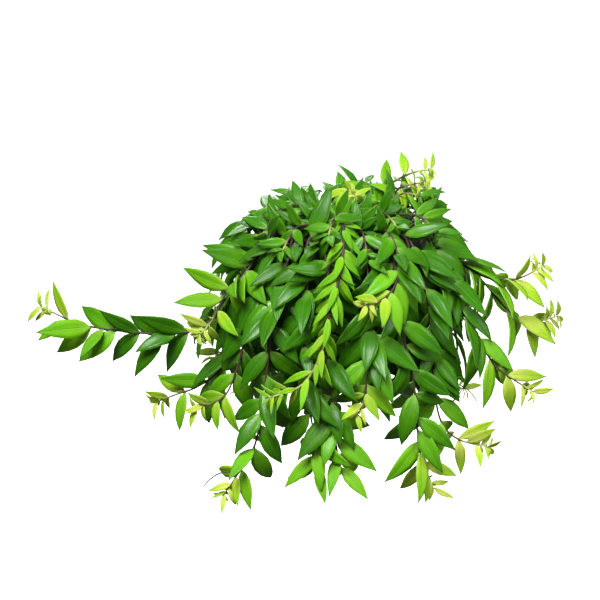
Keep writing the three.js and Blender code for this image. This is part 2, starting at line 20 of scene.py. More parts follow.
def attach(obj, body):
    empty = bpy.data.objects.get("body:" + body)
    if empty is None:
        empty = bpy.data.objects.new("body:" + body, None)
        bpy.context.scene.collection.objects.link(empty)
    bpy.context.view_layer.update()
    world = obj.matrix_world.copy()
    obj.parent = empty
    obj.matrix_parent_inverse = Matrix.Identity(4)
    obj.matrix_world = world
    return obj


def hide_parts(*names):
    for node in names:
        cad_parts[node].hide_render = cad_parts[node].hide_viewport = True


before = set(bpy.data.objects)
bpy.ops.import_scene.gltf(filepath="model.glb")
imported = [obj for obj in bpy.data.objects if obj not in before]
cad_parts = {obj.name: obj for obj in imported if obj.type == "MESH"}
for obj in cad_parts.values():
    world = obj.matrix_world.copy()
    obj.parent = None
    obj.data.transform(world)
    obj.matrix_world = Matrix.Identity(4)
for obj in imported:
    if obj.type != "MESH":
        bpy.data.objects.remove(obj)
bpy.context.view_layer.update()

LOG = logging.getLogger("basket_vine")
MILLIMETRE = 0.001
UP = np.array([0.0, 0.0, 1.0])
FRONT = np.array([0.0, -1.0, 0.0])
Colour = tuple[float, float, float, float]


def mix(low: float, high: float, share: float) -> float:
    """The value at a share of the way from low to high."""
    return low + (high - low) * share


def smoothstep(x: float) -> float:
    """An even rise from 0 to 1 with flat ends."""
    t = min(max(x, 0.0), 1.0)
    return t * t * (3 - 2 * t)


def cross(a: np.ndarray, b: np.ndarray) -> np.ndarray:
    """The cross product of two vectors."""
    return np.array([a[1] * b[2] - a[2] * b[1], a[2] * b[0] - a[0] * b[2], a[0] * b[1] - a[1] * b[0]])


def unit(a: np.ndarray) -> np.ndarray:
    """The vector at length 1."""
    return a / math.sqrt(float(a @ a))


def polar(azimuth: float, radius: float, height: float) -> tuple[float, float, float]:
    """A point by its azimuth in degrees, its distance from the pot's axis and its height."""
    angle = azimuth * math.tau / 360
    return radius * math.cos(angle), radius * math.sin(angle), height


class Draws:
    """Seeded draws between 0 and 1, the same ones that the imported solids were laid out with."""

    WORD = 0xFFFFFFFF
    STEP = 0x6D2B79F5

    def __init__(self, seed: int) -> None:
        """Starts the row of draws at a seed."""
        self.state = seed

    def __call__(self) -> float:
        """Draws the next number.

        Returns:
            A number from 0 up to 1.
        """
        self.state = (self.state + self.STEP) & self.WORD
        t = self.state
        t = ((t ^ (t >> 15)) * (1 | t)) & self.WORD
        t = ((t + ((t ^ (t >> 7)) * (61 | t))) & self.WORD) ^ t
        return (t ^ (t >> 14)) / (self.WORD + 1)

    def within(self, low: float, high: float) -> float:
        """The next draw, spread from low to high."""
        return mix(low, high, self())


# Sizes of the pot and the mix that the layout keeps clear of


@dataclass(frozen=True)
class PotSizes:
    """The pot and the potting mix, in millimetres."""

    height: float = 140
    base_radius: float = 56
    neck_radius: float = 73.5
    lip_radius: float = 80
    lip_depth: float = 15
    wall: float = 2.2
    edge: float = 1.5
    drain_count: int = 6
    drain_radius: float = 4.5
    drain_ring: float = 36
    mix_level: float = 122
    relief: float = 2.2

    @property
    def underside_of_lip(self) -> float:
        """Height of the flat face that the pot hangs by."""
        return self.height - self.lip_depth

    def outer_radius(self, z: float) -> float:
        """Radius of the outside of the wall at a height."""
        return mix(self.base_radius, self.neck_radius, z / self.underside_of_lip)

    def inner_radius(self, z: float) -> float:
        """Radius of the inside of the wall at a height."""
        share = (z - self.wall) / (self.underside_of_lip - self.wall)
        return mix(self.base_radius - self.wall, self.neck_radius - self.wall, share)


POT = PotSizes()


# Layout of stems and leaves


@dataclass(frozen=True)
class Habit:
    """How a kind of shoot is leaved: sizes are shares of the full size, distances are in millimetres."""

    youngest: float
    oldest: float
    spacing: float
    at_rim: float = 1.0
    breadth: float = 1.0
    youth: float = 0.0
    has_buds: bool = True


class Growth(Enum):
    """The kinds of shoot."""

    PLACED = Habit(0.38, 1.0, 24, at_rim=0.7)
    BLUNT = Habit(0.78, 1.0, 24, at_rim=0.7, youth=0.5, has_buds=False)
    SLENDER = Habit(0.32, 0.62, 15, at_rim=0.8, breadth=0.7, youth=0.26)
    UPRIGHT = Habit(0.34, 0.78, 19)
    TRAILING = Habit(0.42, 1.0, 48)
    CROWN = Habit(0.5, 0.66, 18, youth=0.88)
    INNER = Habit(0.8, 0.95, 34, youth=0.85)


class StemLine:
    """A smooth line through the points of a stem, measured along its length."""

    ROOT_DEPTH = 20.0
    RISE = 4.0
    STEP = 29.0
    DIVISIONS = 200
    TANGENT_STEP = 0.0001

    def __init__(self, foot: Sequence[float], path: Sequence[Sequence[float]]) -> None:
        """Lays the line up out of the mix and through the path.

        Args:
            foot: Place of the stem's foot in the mix.
            path: Points that the stem passes after it.
        """
        x, y = foot
        start = [(x, y, POT.mix_level - self.ROOT_DEPTH), (x, y, POT.mix_level + self.RISE)]
        inner = np.array([*start, *path], float)
        ends = (2 * inner[:1] - inner[1:2], inner, 2 * inner[-1:] - inner[-2:-1])
        self.points = np.concatenate(ends)
        shares = np.linspace(0, 1, self.DIVISIONS + 1)
        gaps = np.diff(self.at(shares), axis=0)
        self.lengths = np.concatenate([[0.0], np.cumsum(np.sqrt((gaps**2).sum(1)))])
        self.length = float(self.lengths[-1])
        self.steps = math.ceil(self.length / self.STEP)

    def at(self, t: np.ndarray) -> np.ndarray:
        """Finds points of the line by its spans.

        Args:
            t: Shares of the number of spans, from 0 to 1.

        Returns:
            One point for each share.
        """
        spans = len(self.points) - 3
        place = np.atleast_1d(t) * spans
        span = np.minimum(np.floor(place).astype(int), spans - 1)
        w = (place - span)[:, None]
        p0, p1, p2, p3 = (self.points[span + i] for i in range(4))
        t0, t1 = 0.5 * (p2 - p0), 0.5 * (p3 - p1)
        return p1 + t0 * w + (-3 * p1 + 3 * p2 - 2 * t0 - t1) * w**2 + (2 * p1 - 2 * p2 + t0 + t1) * w**3

    def along(self, shares: Iterable[float] | float) -> np.ndarray:
        """Points at shares of the length, from 0 to 1."""
        where = np.atleast_1d(np.asarray(shares, float)) * self.length
        return self.at(np.interp(where, self.lengths, np.linspace(0, 1, self.DIVISIONS + 1)))

    def tangent(self, share: float) -> np.ndarray:
        """Finds the way that the stem runs.

        Args:
            share: Share of the length.

        Returns:
            The direction, at length 1.
        """
        spots = np.linspace(0, 1, self.DIVISIONS + 1)
        t = float(np.interp(share * self.length, self.lengths, spots))
        before, after = self.at(np.clip([t - self.TANGENT_STEP, t + self.TANGENT_STEP], 0, 1))
        return unit(after - before)

    def core(self, share: float) -> np.ndarray:
        """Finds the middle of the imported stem, which cuts each bend by a straight step.

        Args:
            share: Share of the length.

        Returns:
            The point.
        """
        step = min(math.floor(share * self.steps), self.steps - 1)
        start, end = self.along([step / self.steps, (step + 1) / self.steps])
        return start + (end - start) * (share * self.steps - step)


@dataclass
class Leaf:
    """One leaf: its frame, its sizes, its bends and how old it is. It runs from its foot along its blade."""

    point: np.ndarray
    along: np.ndarray
    face: np.ndarray
    across: np.ndarray
    length: float
    size: float
    half_width: float
    bend: float
    sway: float
    age: float
    root: np.ndarray

    FOLD = 0.2
    OUTLINE = (2.87, 0.65, 0.9)

    def outline(self, share: np.ndarray) -> np.ndarray:
        """Gives the half-width, which is 1 at its widest: rounded foot, drawn-out tip.

        Args:
            share: Shares of the length.

        Returns:
            The half-width at each share.
        """
        scale, foot, tip = self.OUTLINE
        inside = np.clip(share, 0, 1)
        return scale * inside**foot * (1 - inside) ** tip

    def place(self, share: np.ndarray, side: np.ndarray, half: np.ndarray, rise: np.ndarray) -> np.ndarray:
        """Points of the blade.

        Args:
            share: Shares of the length from the foot to the tip.
            side: Places across, from -1 to 1.
            half: Half-widths there.
            rise: Heights above the middle of the face.

        Returns:
            One point for each share.
        """
        turned = self.bend * share
        forward = self.length * np.sin(turned) / self.bend + rise * np.sin(turned)
        lift = rise * np.cos(turned) - self.length * (1 - np.cos(turned)) / self.bend
        aside = side * half + self.sway * self.length * share**2
        return (
            self.point
            + forward[:, None] * self.along
            + lift[:, None] * self.face
            + aside[:, None] * self.across
        )

    def samples(self, pitch: float) -> tuple[np.ndarray, np.ndarray]:
        """Points spread over the blade for the test of room.

        Args:
            pitch: Distance between them.

        Returns:
            Their shares of the length, and the points.
        """
        rows = max(3, math.ceil(self.length / pitch))
        shares: list[float] = []
        sides: list[float] = []
        for row in range(1, rows + 1):
            share = row / rows
            half = self.half_width * float(self.outline(np.array(share)))
            columns = math.ceil(half / pitch)
            for column in range(-columns, columns + 1):
                shares.append(share)
                sides.append(column / columns if columns else 0.0)
        share, side = np.array(shares), np.array(sides)
        half = self.half_width * self.outline(share)
        return share, self.place(share, side, half, np.abs(side) * half * self.FOLD)


@dataclass
class Node:
    """A place on a stem where a leaf may grow, and which way it would."""

    shoot: "Shoot"
    order: int
    point: np.ndarray
    tangent: np.ndarray
    side: int
    size: float
    spin: float
    from_end: float
    age: float
    curl: float = 1.0
    slimness: float = 1.0

    @property
    def rank(self) -> tuple[float, int, int]:
        """Where the place stands in the order of growth, which starts at the ends of the shoots."""
        return self.from_end, self.order, self.side


@dataclass
class Shoot:
    """A stem with its leaves."""

    name: str
    growth: Growth
    foot: tuple[float, float]
    turn: float
    opening: float
    path: Sequence[Sequence[float]]
    ageing: float = 85
    tendril: Sequence[Sequence[float]] = ()
    leaves: list[Leaf] = field(default_factory=list)
    extras: list[Leaf] = field(default_factory=list)
    line: StemLine = field(init=False)

    def __post_init__(self) -> None:
        """Lays out the stem's line."""
        self.line = StemLine(self.foot, self.path)


class Room:
    """The room that is taken: groups of points, each with its owner and the distance that it keeps."""

    START = 512
    POT_CLEARANCE = 3.5

    def __init__(self) -> None:
        """Starts with no room taken."""
        self.groups: list[np.ndarray] = []
        self.owners: list[str] = []
        self.distances: list[float] = []
        self.lows = np.empty((self.START, 3))
        self.highs = np.empty((self.START, 3))

    def take(self, points: np.ndarray, owner: str, distance: float) -> None:
        """Takes the room round a group of points.

        Args:
            points: The points.
            owner: Name of the shoot that they belong to.
            distance: Distance that others keep from them.
        """
        count = len(self.groups)
        if count == len(self.lows):
            self.lows = np.concatenate([self.lows, np.empty_like(self.lows)])
            self.highs = np.concatenate([self.highs, np.empty_like(self.highs)])
        self.lows[count] = points.min(0) - distance
        self.highs[count] = points.max(0) + distance
        self.groups.append(points)
        self.owners.append(owner)
        self.distances.append(distance)

    def clears_pot(self, points: np.ndarray) -> bool:
        """Tests whether points keep clear of the pot and the mix.

        Args:
            points: The points.

        Returns:
            True if all points are outside the pot, or inside it above the mix.
        """
        z = points[:, 2]
        radius = np.hypot(points[:, 0], points[:, 1])
        beside_lip = z > POT.underside_of_lip - self.POT_CLEARANCE
        wall = np.where(beside_lip, POT.lip_radius, POT.outer_radius(z))
        mouth = POT.neck_radius - POT.wall - self.POT_CLEARANCE
        mix_top = POT.mix_level + POT.relief + self.POT_CLEARANCE
        clear = (
            (z > POT.height + self.POT_CLEARANCE)
            | (z < -self.POT_CLEARANCE)
            | (radius > wall + self.POT_CLEARANCE)
            | ((radius < mouth) & (z > mix_top))
        )
        return bool(clear.all())

    def is_free(self, points: np.ndarray, near_foot: np.ndarray, owner: str, ease: float = 1.0) -> bool:
        """Tests whether a leaf has room.

        Args:
            points: Points of the leaf.
            near_foot: Which of them may touch the leaf's own shoot.
            owner: Name of that shoot.
            ease: Share of each kept distance that counts.

        Returns:
            True if every point keeps its distance.
        """
        if not self.clears_pot(points):
            return False
        low, high = points.min(0), points.max(0)
        count = len(self.groups)
        near = ((self.lows[:count] <= high) & (self.highs[:count] >= low)).all(1)
        for index in np.flatnonzero(near):
            tested = points[~near_foot] if self.owners[index] == owner else points
            distance = self.distances[index] * ease
            group = self.groups[index]
            group = group[((group >= low - distance) & (group <= high + distance)).all(1)]
            if len(tested) and len(group):
                gaps = ((tested[:, None, :] - group[None, :, :]) ** 2).sum(2)
                if gaps.min() < distance**2:
                    return False
        return True


@dataclass
class Choice:
    """How one leaf strays from the rule."""

    spin: float
    opening: float
    roll: float
    bend: float
    sway: float
    breadth: float
    scale: float

    SPIN = (0.16, 1.26)
    OPENING = (0.12, 0.52)
    ROLL = 0.35
    BEND = (0.35, 0.95)
    SWAY = 0.07
    BREADTH = (0.92, 1.1)
    SHORTENING = (0.18, 0.45)

    @classmethod
    def draw(cls, draws: Draws, slack: float) -> "Choice":
        """Draws a choice, which strays further with more slack.

        Args:
            draws: The row of draws.
            slack: How far it may stray, from 0 to 1.

        Returns:
            The choice.
        """
        return cls(
            spin=draws.within(-1, 1) * mix(*cls.SPIN, slack),
            opening=draws.within(-1, 1) * mix(*cls.OPENING, slack),
            roll=draws.within(-cls.ROLL, cls.ROLL),
            bend=draws.within(*cls.BEND),
            sway=draws.within(-cls.SWAY, cls.SWAY),
            breadth=draws.within(*cls.BREADTH),
            scale=1 - mix(*cls.SHORTENING, slack) * draws(),
        )


@dataclass
class Layout:
    """The shoots and their leaves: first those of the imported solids, then the ones that fill them out.

    Lengths are in millimetres, and angles are in radians except turns and azimuths, which are in degrees.
    """

    seed: int = 20731
    trials: int = 11
    pitch: float = 3.6
    leaf_clearance: float = 3.7
    stem_clearance: float = 3.8
    own_foot: float = 0.24
    leaf_length: float = 58
    slenderness: tuple[float, float] = (3.7, 3.2)
    young_length: float = 52
    bare_foot: float = 14
    end_gap: float = 2
    tip_spacing: float = 12
    tip_length: float = 30
    young_opening: float = 1.1
    sag: float = 0.3
    rim_length: float = 110
    pair_twist: tuple[float, float] = (62, 24)
    twist_length: float = 40
    fill_reach: float = 125
    fill_floor: float = -20
    fill_end: float = 50
    outer_fill: float = 0.4
    fill_ease: float = 0.5
    fill_size: float = 0.94
    fill_quarters: tuple[float, float] = (0.25, 0.75)
    buds: tuple[tuple[float, float, float], ...] = ((1, 0.24, 20), (5, 0.32, 66), (9, 0.38, -30))
    bud_curl: float = 1.9
    bud_slimness: float = 1.25
    stem_stretches: int = 6
    side_height: float = 100
    crown_rise: float = 60
    front_reach: float = 110
    front_rise: float = 70
    crown_front: float = 0.5
    shoots: list[Shoot] = field(default_factory=list)
    room: Room = field(default_factory=Room)

    # Name, foot in the mix, turn, opening of the leaves and points of the stem of each placed shoot
    PLACED = (
        ("left_long", (-48, -6), 6, 0.62, (
            (-76, -10, 150), (-107, -14, 88), (-139, -20, 47), (-174, -24, 39), (-220, -28, 43),
            (-262, -32, 52), (-300, -36, 72),
        )),
        ("left_upper", (-40, -22), -8, 1.5, (
            (-68, -36, 152), (-88, -58, 126), (-100, -66, 111), (-116, -72, 95), (-128, -78, 72),
            (-142, -82, 56),
        )),
        ("left_middle", (-52, -20), 10, 0.8, (
            (-76, -27, 147), (-97, -32, 110), (-104, -44, 50), (-119, -50, 16), (-143, -55, -4),
            (-168, -58, -13), (-187, -60, -20),
        )),
        ("left_lower", (-42, -38), 15, 0.8, (
            (-60, -54, 147), (-74, -70, 122), (-84, -86, 90), (-97, -92, 56), (-107, -98, 23),
            (-119, -102, 1), (-145, -106, -7),
        )),
        ("bottom_left", (-32, -48), 5, 0.9, (
            (-46, -66, 148), (-60, -86, 122), (-70, -104, 80), (-75, -112, 43), (-81, -118, -7),
            (-89, -122, -42), (-104, -125, -67), (-118, -128, -88),
        )),
        ("bottom_middle_left", (-20, -52), -12, 1.1, (
            (-29, -74, 148), (-38, -98, 116), (-41, -114, 60), (-37, -120, 6), (-31, -122, -33),
            (-28, -124, -62),
        )),
        ("bottom_middle", (-6, -56), 8, 1.25, (
            (-11, -78, 149), (-20, -102, 116), (-19, -116, 50), (-14, -122, -3), (-11, -124, -36),
            (-6, -125, -62),
        )),
        ("front_pale", (-6, -30), 70, 0.42, (
            (-6, -52, 166), (-4, -84, 156), (-8, -112, 128), (-18, -128, 96), (-25, -137, 61),
            (-43, -144, 31), (-74, -150, 20),
        )),
        ("front_middle", (22, -42), -8, 0.8, (
            (36, -70, 158), (46, -98, 138), (42, -119, 118), (28, -132, 108), (14, -140, 106),
        )),
        ("front_lower", (8, -52), 0, 1.05, (
            (13, -77, 149), (19, -104, 116), (22, -119, 66), (18, -126, 33), (14, -132, 8),
            (8, -136, -4),
        )),
        ("bottom_right", (28, -48), 0, 1.0, (
            (37, -72, 149), (44, -100, 120), (47, -115, 82), (56, -119, 51), (62, -121, 21),
            (66, -121, -24), (71, -120, -54), (84, -118, -87),
        )),
        ("right_bottom", (40, -38), 12, 1.0, (
            (56, -56, 148), (72, -76, 112), (80, -86, 60), (83, -92, 14), (90, -96, -24),
            (107, -100, -42), (137, -106, -48),
        )),
        ("right_front", (50, -24), 0, 0.65, (
            (70, -38, 149), (92, -58, 116), (108, -64, 82), (118, -66, 63), (133, -68, 38),
            (148, -70, 18), (182, -74, -4),
        )),
        ("right_out", (46, -6), 35, 0.75, (
            (76, -9, 150), (105, -13, 116), (132, -18, 98), (151, -20, 94), (171, -22, 96),
            (194, -24, 110),
        )),
        ("right_curl", (50, 10), 20, 0.75, (
            (77, 12, 148), (108, 10, 112), (138, 5, 84), (157, 1, 62), (171, -2, 50), (188, -5, 45),
            (213, -8, 52),
        )),
        ("top_right", (26, 14), 40, 1.2, (
            (38, 20, 146), (44, 22, 162), (52, 20, 175), (64, 16, 181), (81, 12, 184),
        )),
        ("top_right_tall", (16, 24), 10, 1.3, (
            (22, 31, 146), (34, 34, 168), (52, 32, 182), (70, 28, 191), (87, 26, 194),
        )),
        ("crown_star", (-8, 22), 20, 1.0, (
            (-6, 26, 150), (-2, 18, 171), (3, -2, 181), (8, -25, 179),
        )),
    )
    # The placed shoots that are leaved in a way of their own
    KINDS = {
        "bottom_middle_left": Growth.BLUNT, "bottom_middle": Growth.BLUNT,
        "front_pale": Growth.SLENDER, "top_right": Growth.UPRIGHT, "top_right_tall": Growth.UPRIGHT,
        "crown_star": Growth.UPRIGHT,
    }
    # Lengths over which the leaves of the paler shoots turn from yellow-green to deep green
    PALE = {
        "front_pale": 420.0, "right_curl": 170.0, "right_out": 150.0, "right_front": 130.0,
        "right_bottom": 140.0, "bottom_right": 115.0, "left_long": 120.0, "left_upper": 130.0,
        "top_right": 130.0, "top_right_tall": 130.0,
    }
    # Start, pull and end of the thin dry stalks
    TENDRILS = {"bottom_left": ((-104, -125, -66), (-124, -130, -58), (-138, -130, -80))}
    # Azimuth, reach and end height of the shoots at the sides and the back
    TRAILING = (
        (173, 116, -6), (158, 128, 34), (143, 112, -62), (127, 130, 12), (111, 114, -96),
        (95, 128, 30), (79, 112, -74), (63, 130, 4), (47, 114, -104), (32, 128, 22), (18, 116, -50),
    )
    # Azimuth, reach and end height of the shoots over the crown
    CROWN = (
        (258, 90, 156), (280, 104, 136), (304, 84, 160), (330, 100, 150), (232, 102, 138),
        (200, 72, 162), (168, 96, 140), (140, 74, 158), (72, 72, 170), (36, 98, 156), (4, 74, 172),
    )
    # Azimuth and end height of the shoots on the wall of the pot
    INNER = (
        (194, 2), (214, 20), (231, 4), (243, 18), (256, -8), (284, 12), (312, 14), (343, 16), (1, 2),
    )

    def grow(self) -> None:
        """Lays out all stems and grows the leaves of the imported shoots."""
        draws = Draws(self.seed)
        for name, *plan in self.PLACED:
            shoot = Shoot(f"shoot_{name}", self.KINDS.get(name, Growth.PLACED), *plan)
            shoot.ageing = self.PALE.get(name, shoot.ageing)
            shoot.tendril = self.TENDRILS.get(name, ())
            self.shoots.append(shoot)
        for index, plan in enumerate(self.TRAILING):
            self.shoots.append(self.trailing_shoot(plan, index, draws))
        for index, plan in enumerate(self.CROWN):
            self.shoots.append(self.crown_shoot(plan, index))
        for index, plan in enumerate(self.INNER):
            self.shoots.append(self.inner_shoot(plan, index))
        for shoot in self.shoots:
            steps = math.ceil(shoot.line.length / self.pitch)
            points = shoot.line.along(np.arange(steps + 1) / steps)
            for stretch in np.array_split(points, self.stem_stretches):
                self.room.take(stretch, shoot.name, self.stem_clearance)
        nodes = [node for order, shoot in enumerate(self.shoots) for node in self.nodes_of(shoot, order)]
        nodes.sort(key=lambda node: node.rank)
        bare = [node for node in nodes if not self.grow_leaf(node, draws, node.shoot.leaves)]
        self.fill_out(bare)

    def trailing_shoot(self, plan: Sequence[float], index: int, draws: Draws) -> Shoot:
        """Lays out a shoot that hangs from the sides or the back.

        Args:
            plan: Its azimuth, its reach and the height of its end.
            index: Its number in the plan.
            draws: The row of draws.

        Returns:
            The shoot, without leaves.
        """
        azimuth, reach, end = plan
        sway = draws.within(-5, 5)
        outer = reach > 120
        turn = draws.within(-25, 25)
        path = (
            polar(azimuth, *((62, 154) if outer else (76, 149))),
            polar(azimuth, reach * 0.84, 134 if outer else 132),
            polar(azimuth, reach * 0.96, 100),
            polar(azimuth + sway * 0.4, reach, mix(100, end, 0.5)),
            polar(azimuth + sway, reach + 6, end + 16),
            polar(azimuth + sway * 1.5, reach + 22, end),
        )
        foot = polar(azimuth, 34 if outer else 54, 0)[:2]
        return Shoot(f"shoot_trailing_{index + 1}", Growth.TRAILING, foot, turn, 0.8, path)

    def crown_shoot(self, plan: Sequence[float], index: int) -> Shoot:
        """Lays out a short shoot that arches over the crown.

        Args:
            plan: Its azimuth, its reach and the height of its end.
            index: Its number in the plan.

        Returns:
            The shoot, without leaves.
        """
        azimuth, reach, height = plan
        foot, neck, turn = (24, 30, 14) if index % 2 else (13, 20, -14)
        path = (
            polar(azimuth, neck, 150),
            polar(azimuth, 46, mix(168, height, 0.5)),
            polar(azimuth, reach * 0.78, mix(178, height, 0.5)),
            polar(azimuth, reach, height),
        )
        return Shoot(f"shoot_crown_{index + 1}", Growth.CROWN, polar(azimuth, foot, 0)[:2], turn, 0.95, path)

    def inner_shoot(self, plan: Sequence[float], index: int) -> Shoot:
        """Lays out a shoot that hugs the wall of the pot.

        Args:
            plan: Its azimuth and the height of its end.
            index: Its number in the plan.

        Returns:
            The shoot, without leaves.
        """
        azimuth, end = plan
        path = (
            polar(azimuth, 79, 150),
            polar(azimuth, 90, 126),
            polar(azimuth, 92, 84),
            polar(azimuth, 92, mix(84, end, 0.5)),
            polar(azimuth, 94, end),
        )
        turn = 8 if index % 2 else -8
        return Shoot(f"shoot_inner_{index + 1}", Growth.INNER, polar(azimuth, 60, 0)[:2], turn, 1.0, path)

    def pair_distances(self, length: float, spacing: float) -> list[float]:
        """Spaces the leaf pairs: crowded at the stem's end, wide apart where it is old.

        Args:
            length: Length of the stem.
            spacing: Distance between two old pairs.

        Returns:
            Distance of each pair from the stem's end.
        """
        distances = []
        from_end = self.end_gap
        while from_end < length - self.bare_foot - StemLine.ROOT_DEPTH:
            distances.append(from_end)
            from_end += mix(self.tip_spacing, spacing, smoothstep(from_end / self.tip_length))
        return distances

    def node_pair(self, shoot: Shoot, order: int, from_end: float, spin: float, size: float) -> list[Node]:
        """Makes the two places for leaves at one distance from a stem's end.

        Args:
            shoot: The shoot.
            order: Its number.
            from_end: Distance from its end.
            spin: Turn of the pair about the stem.
            size: Share of the full leaf size.

        Returns:
            The two places.
        """
        share = 1 - from_end / shoot.line.length
        point, tangent = shoot.line.core(share), shoot.line.tangent(share)
        age = mix(shoot.growth.value.youth, 1, smoothstep(from_end / shoot.ageing))
        return [Node(shoot, order, point, tangent, side, size, spin, from_end, age) for side in (-1, 1)]

    def twist(self, pair: int, from_end: float) -> float:
        """Degrees that a pair is turned by, to either side in turn: far at the end, a little when old."""
        return mix(*self.pair_twist, smoothstep(from_end / self.twist_length)) * (1 if pair % 2 else -1)

    def leaf_size(self, shoot: Shoot, from_end: float) -> float:
        """Sizes the leaves at a distance from a stem's end.

        Args:
            shoot: The shoot.
            from_end: Distance from its end.

        Returns:
            Share of the full leaf size.
        """
        habit = shoot.growth.value
        from_mix = shoot.line.length - StemLine.ROOT_DEPTH - from_end
        grown = habit.oldest * mix(habit.at_rim, 1, smoothstep(from_mix / self.rim_length))
        return mix(habit.youngest, grown, smoothstep(from_end / self.young_length))

    def nodes_of(self, shoot: Shoot, order: int) -> list[Node]:
        """Lists the places for the leaves of a packed shoot.

        Args:
            shoot: The shoot.
            order: Its number.

        Returns:
            The places, from the end of the stem.
        """
        nodes: list[Node] = []
        for pair, from_end in enumerate(self.pair_distances(shoot.line.length, shoot.growth.value.spacing)):
            spin = math.radians(shoot.turn + self.twist(pair, from_end))
            nodes += self.node_pair(shoot, order, from_end, spin, self.leaf_size(shoot, from_end))
        return nodes

    def light_at(self, point: np.ndarray) -> np.ndarray:
        """Finds the way that leaf faces look at a place.

        Args:
            point: A place on a stem.

        Returns:
            The direction, at length 1.
        """
        outward = unit(np.array([point[0], point[1], 0.0]))
        height = smoothstep((point[2] - self.side_height) / self.crown_rise)
        reach = smoothstep((math.hypot(point[0], point[1]) - self.front_reach) / self.front_rise)
        light = outward * mix(1, 0.5, height) + UP * mix(0.35, 0.85, height)
        return unit(light + FRONT * (mix(0.25, 1.3, reach) + self.crown_front * height))

    def pose(self, node: Node, choice: Choice) -> Leaf:
        """Shapes a leaf: which way it points, which way its face looks, and its bends.

        Args:
            node: Where it grows.
            choice: How it strays from the rule.

        Returns:
            The leaf.
        """
        light = self.light_at(node.point)
        spin = node.spin + choice.spin
        reference = unit(cross(node.tangent, light))
        other = cross(reference, node.tangent)
        sideways = (reference * math.cos(spin) + other * math.sin(spin)) * node.side
        opening = mix(self.young_opening, node.shoot.opening, node.size) + choice.opening
        heading = node.tangent * math.cos(opening) + sideways * math.sin(opening)
        along = unit(heading - UP * (self.sag * node.size))
        face = unit(light - along * float(light @ along))
        face = face * math.cos(choice.roll) + cross(face, along) * math.sin(choice.roll)
        length = self.leaf_length * node.size * choice.scale
        breadth = choice.breadth * node.shoot.growth.value.breadth / node.slimness
        return Leaf(
            point=node.point,
            along=along,
            face=face,
            across=cross(face, along),
            length=length,
            size=node.size,
            half_width=length / mix(*self.slenderness, node.size) / 2 * breadth,
            bend=choice.bend * node.curl,
            sway=choice.sway,
            age=node.age,
            root=node.shoot.line.along(1 - node.from_end / node.shoot.line.length)[0],
        )

    def grow_leaf(self, node: Node, draws: Draws, leaves: list[Leaf], ease: float = 1.0) -> bool:
        """Grows a leaf where it finds room: each trial lets it stray further from the rule.

        Args:
            node: Where the leaf grows.
            draws: The row of draws.
            leaves: The list that the leaf joins.
            ease: Share of each kept distance that counts.

        Returns:
            True if a leaf grew.
        """
        for trial in range(self.trials):
            leaf = self.pose(node, Choice.draw(draws, trial / self.trials))
            share, points = leaf.samples(self.pitch)
            if self.room.is_free(points, share < self.own_foot, node.shoot.name, ease):
                self.room.take(points, node.shoot.name, self.leaf_clearance)
                leaves.append(leaf)
                return True
        return False

    def fills(self, node: Node) -> bool:
        """Tests whether more leaves fill a place. The outer shoots keep their bare lengths of stem.

        Args:
            node: The place.

        Returns:
            True inside the mound.
        """
        reach = math.hypot(node.point[0], node.point[1])
        low = node.point[2] < self.fill_floor or node.from_end < self.fill_end
        return reach < self.fill_reach and not low

    def bud_nodes(self, shoot: Shoot, order: int) -> list[Node]:
        """Makes the places for the narrow leaves that stand in a star round the end of a shoot.

        Args:
            shoot: The shoot.
            order: Its number.

        Returns:
            The places.
        """
        nodes: list[Node] = []
        for from_end, size, turn in self.buds if shoot.growth.value.has_buds else ():
            nodes += self.node_pair(shoot, order, from_end, math.radians(shoot.turn + turn), size)
        for node in nodes:
            node.curl = self.bud_curl
            node.slimness = self.bud_slimness
        return nodes

    def between(self, shoot: Shoot, order: int, pair: int, from_end: float) -> list[Node]:
        """The places for two leaves between a pair and the next, about crosswise to the pair."""
        spin = math.radians(shoot.turn + 90 + self.twist(pair, from_end))
        return self.node_pair(shoot, order, from_end, spin, self.leaf_size(shoot, from_end) * self.fill_size)

    def fill_out(self, bare: list[Node]) -> None:
        """Grows the leaves that fill out the shoots: at bare places, between pairs and at tips.

        Args:
            bare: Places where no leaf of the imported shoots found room.
        """
        draws = Draws(self.seed + 1)
        self.crowd_in(bare, draws)
        between: list[Node] = []
        late: list[Node] = []
        for order, shoot in enumerate(self.shoots):
            distances = self.pair_distances(shoot.line.length, shoot.growth.value.spacing)
            for pair, (near, far) in enumerate(zip(distances, distances[1:], strict=False)):
                middle = self.between(shoot, order, pair, mix(near, far, 0.5))
                between += [node for node in middle if self.fills(node) or draws() < self.outer_fill]
                for share in self.fill_quarters:
                    quarter = self.between(shoot, order, pair, mix(near, far, share))
                    late += [node for node in quarter if self.fills(node)]
            between += self.bud_nodes(shoot, order)
        for nodes in (between, late):
            nodes.sort(key=lambda node: node.rank)
            self.crowd_in(nodes, draws)

    def crowd_in(self, nodes: Iterable[Node], draws: Draws) -> None:
        """Grows an extra leaf at each place where it finds room. It may stand closer to what is there.

        Args:
            nodes: The places.
            draws: The row of draws.
        """
        for node in nodes:
            self.grow_leaf(node, draws, node.shoot.extras, self.fill_ease)


# Shader maths


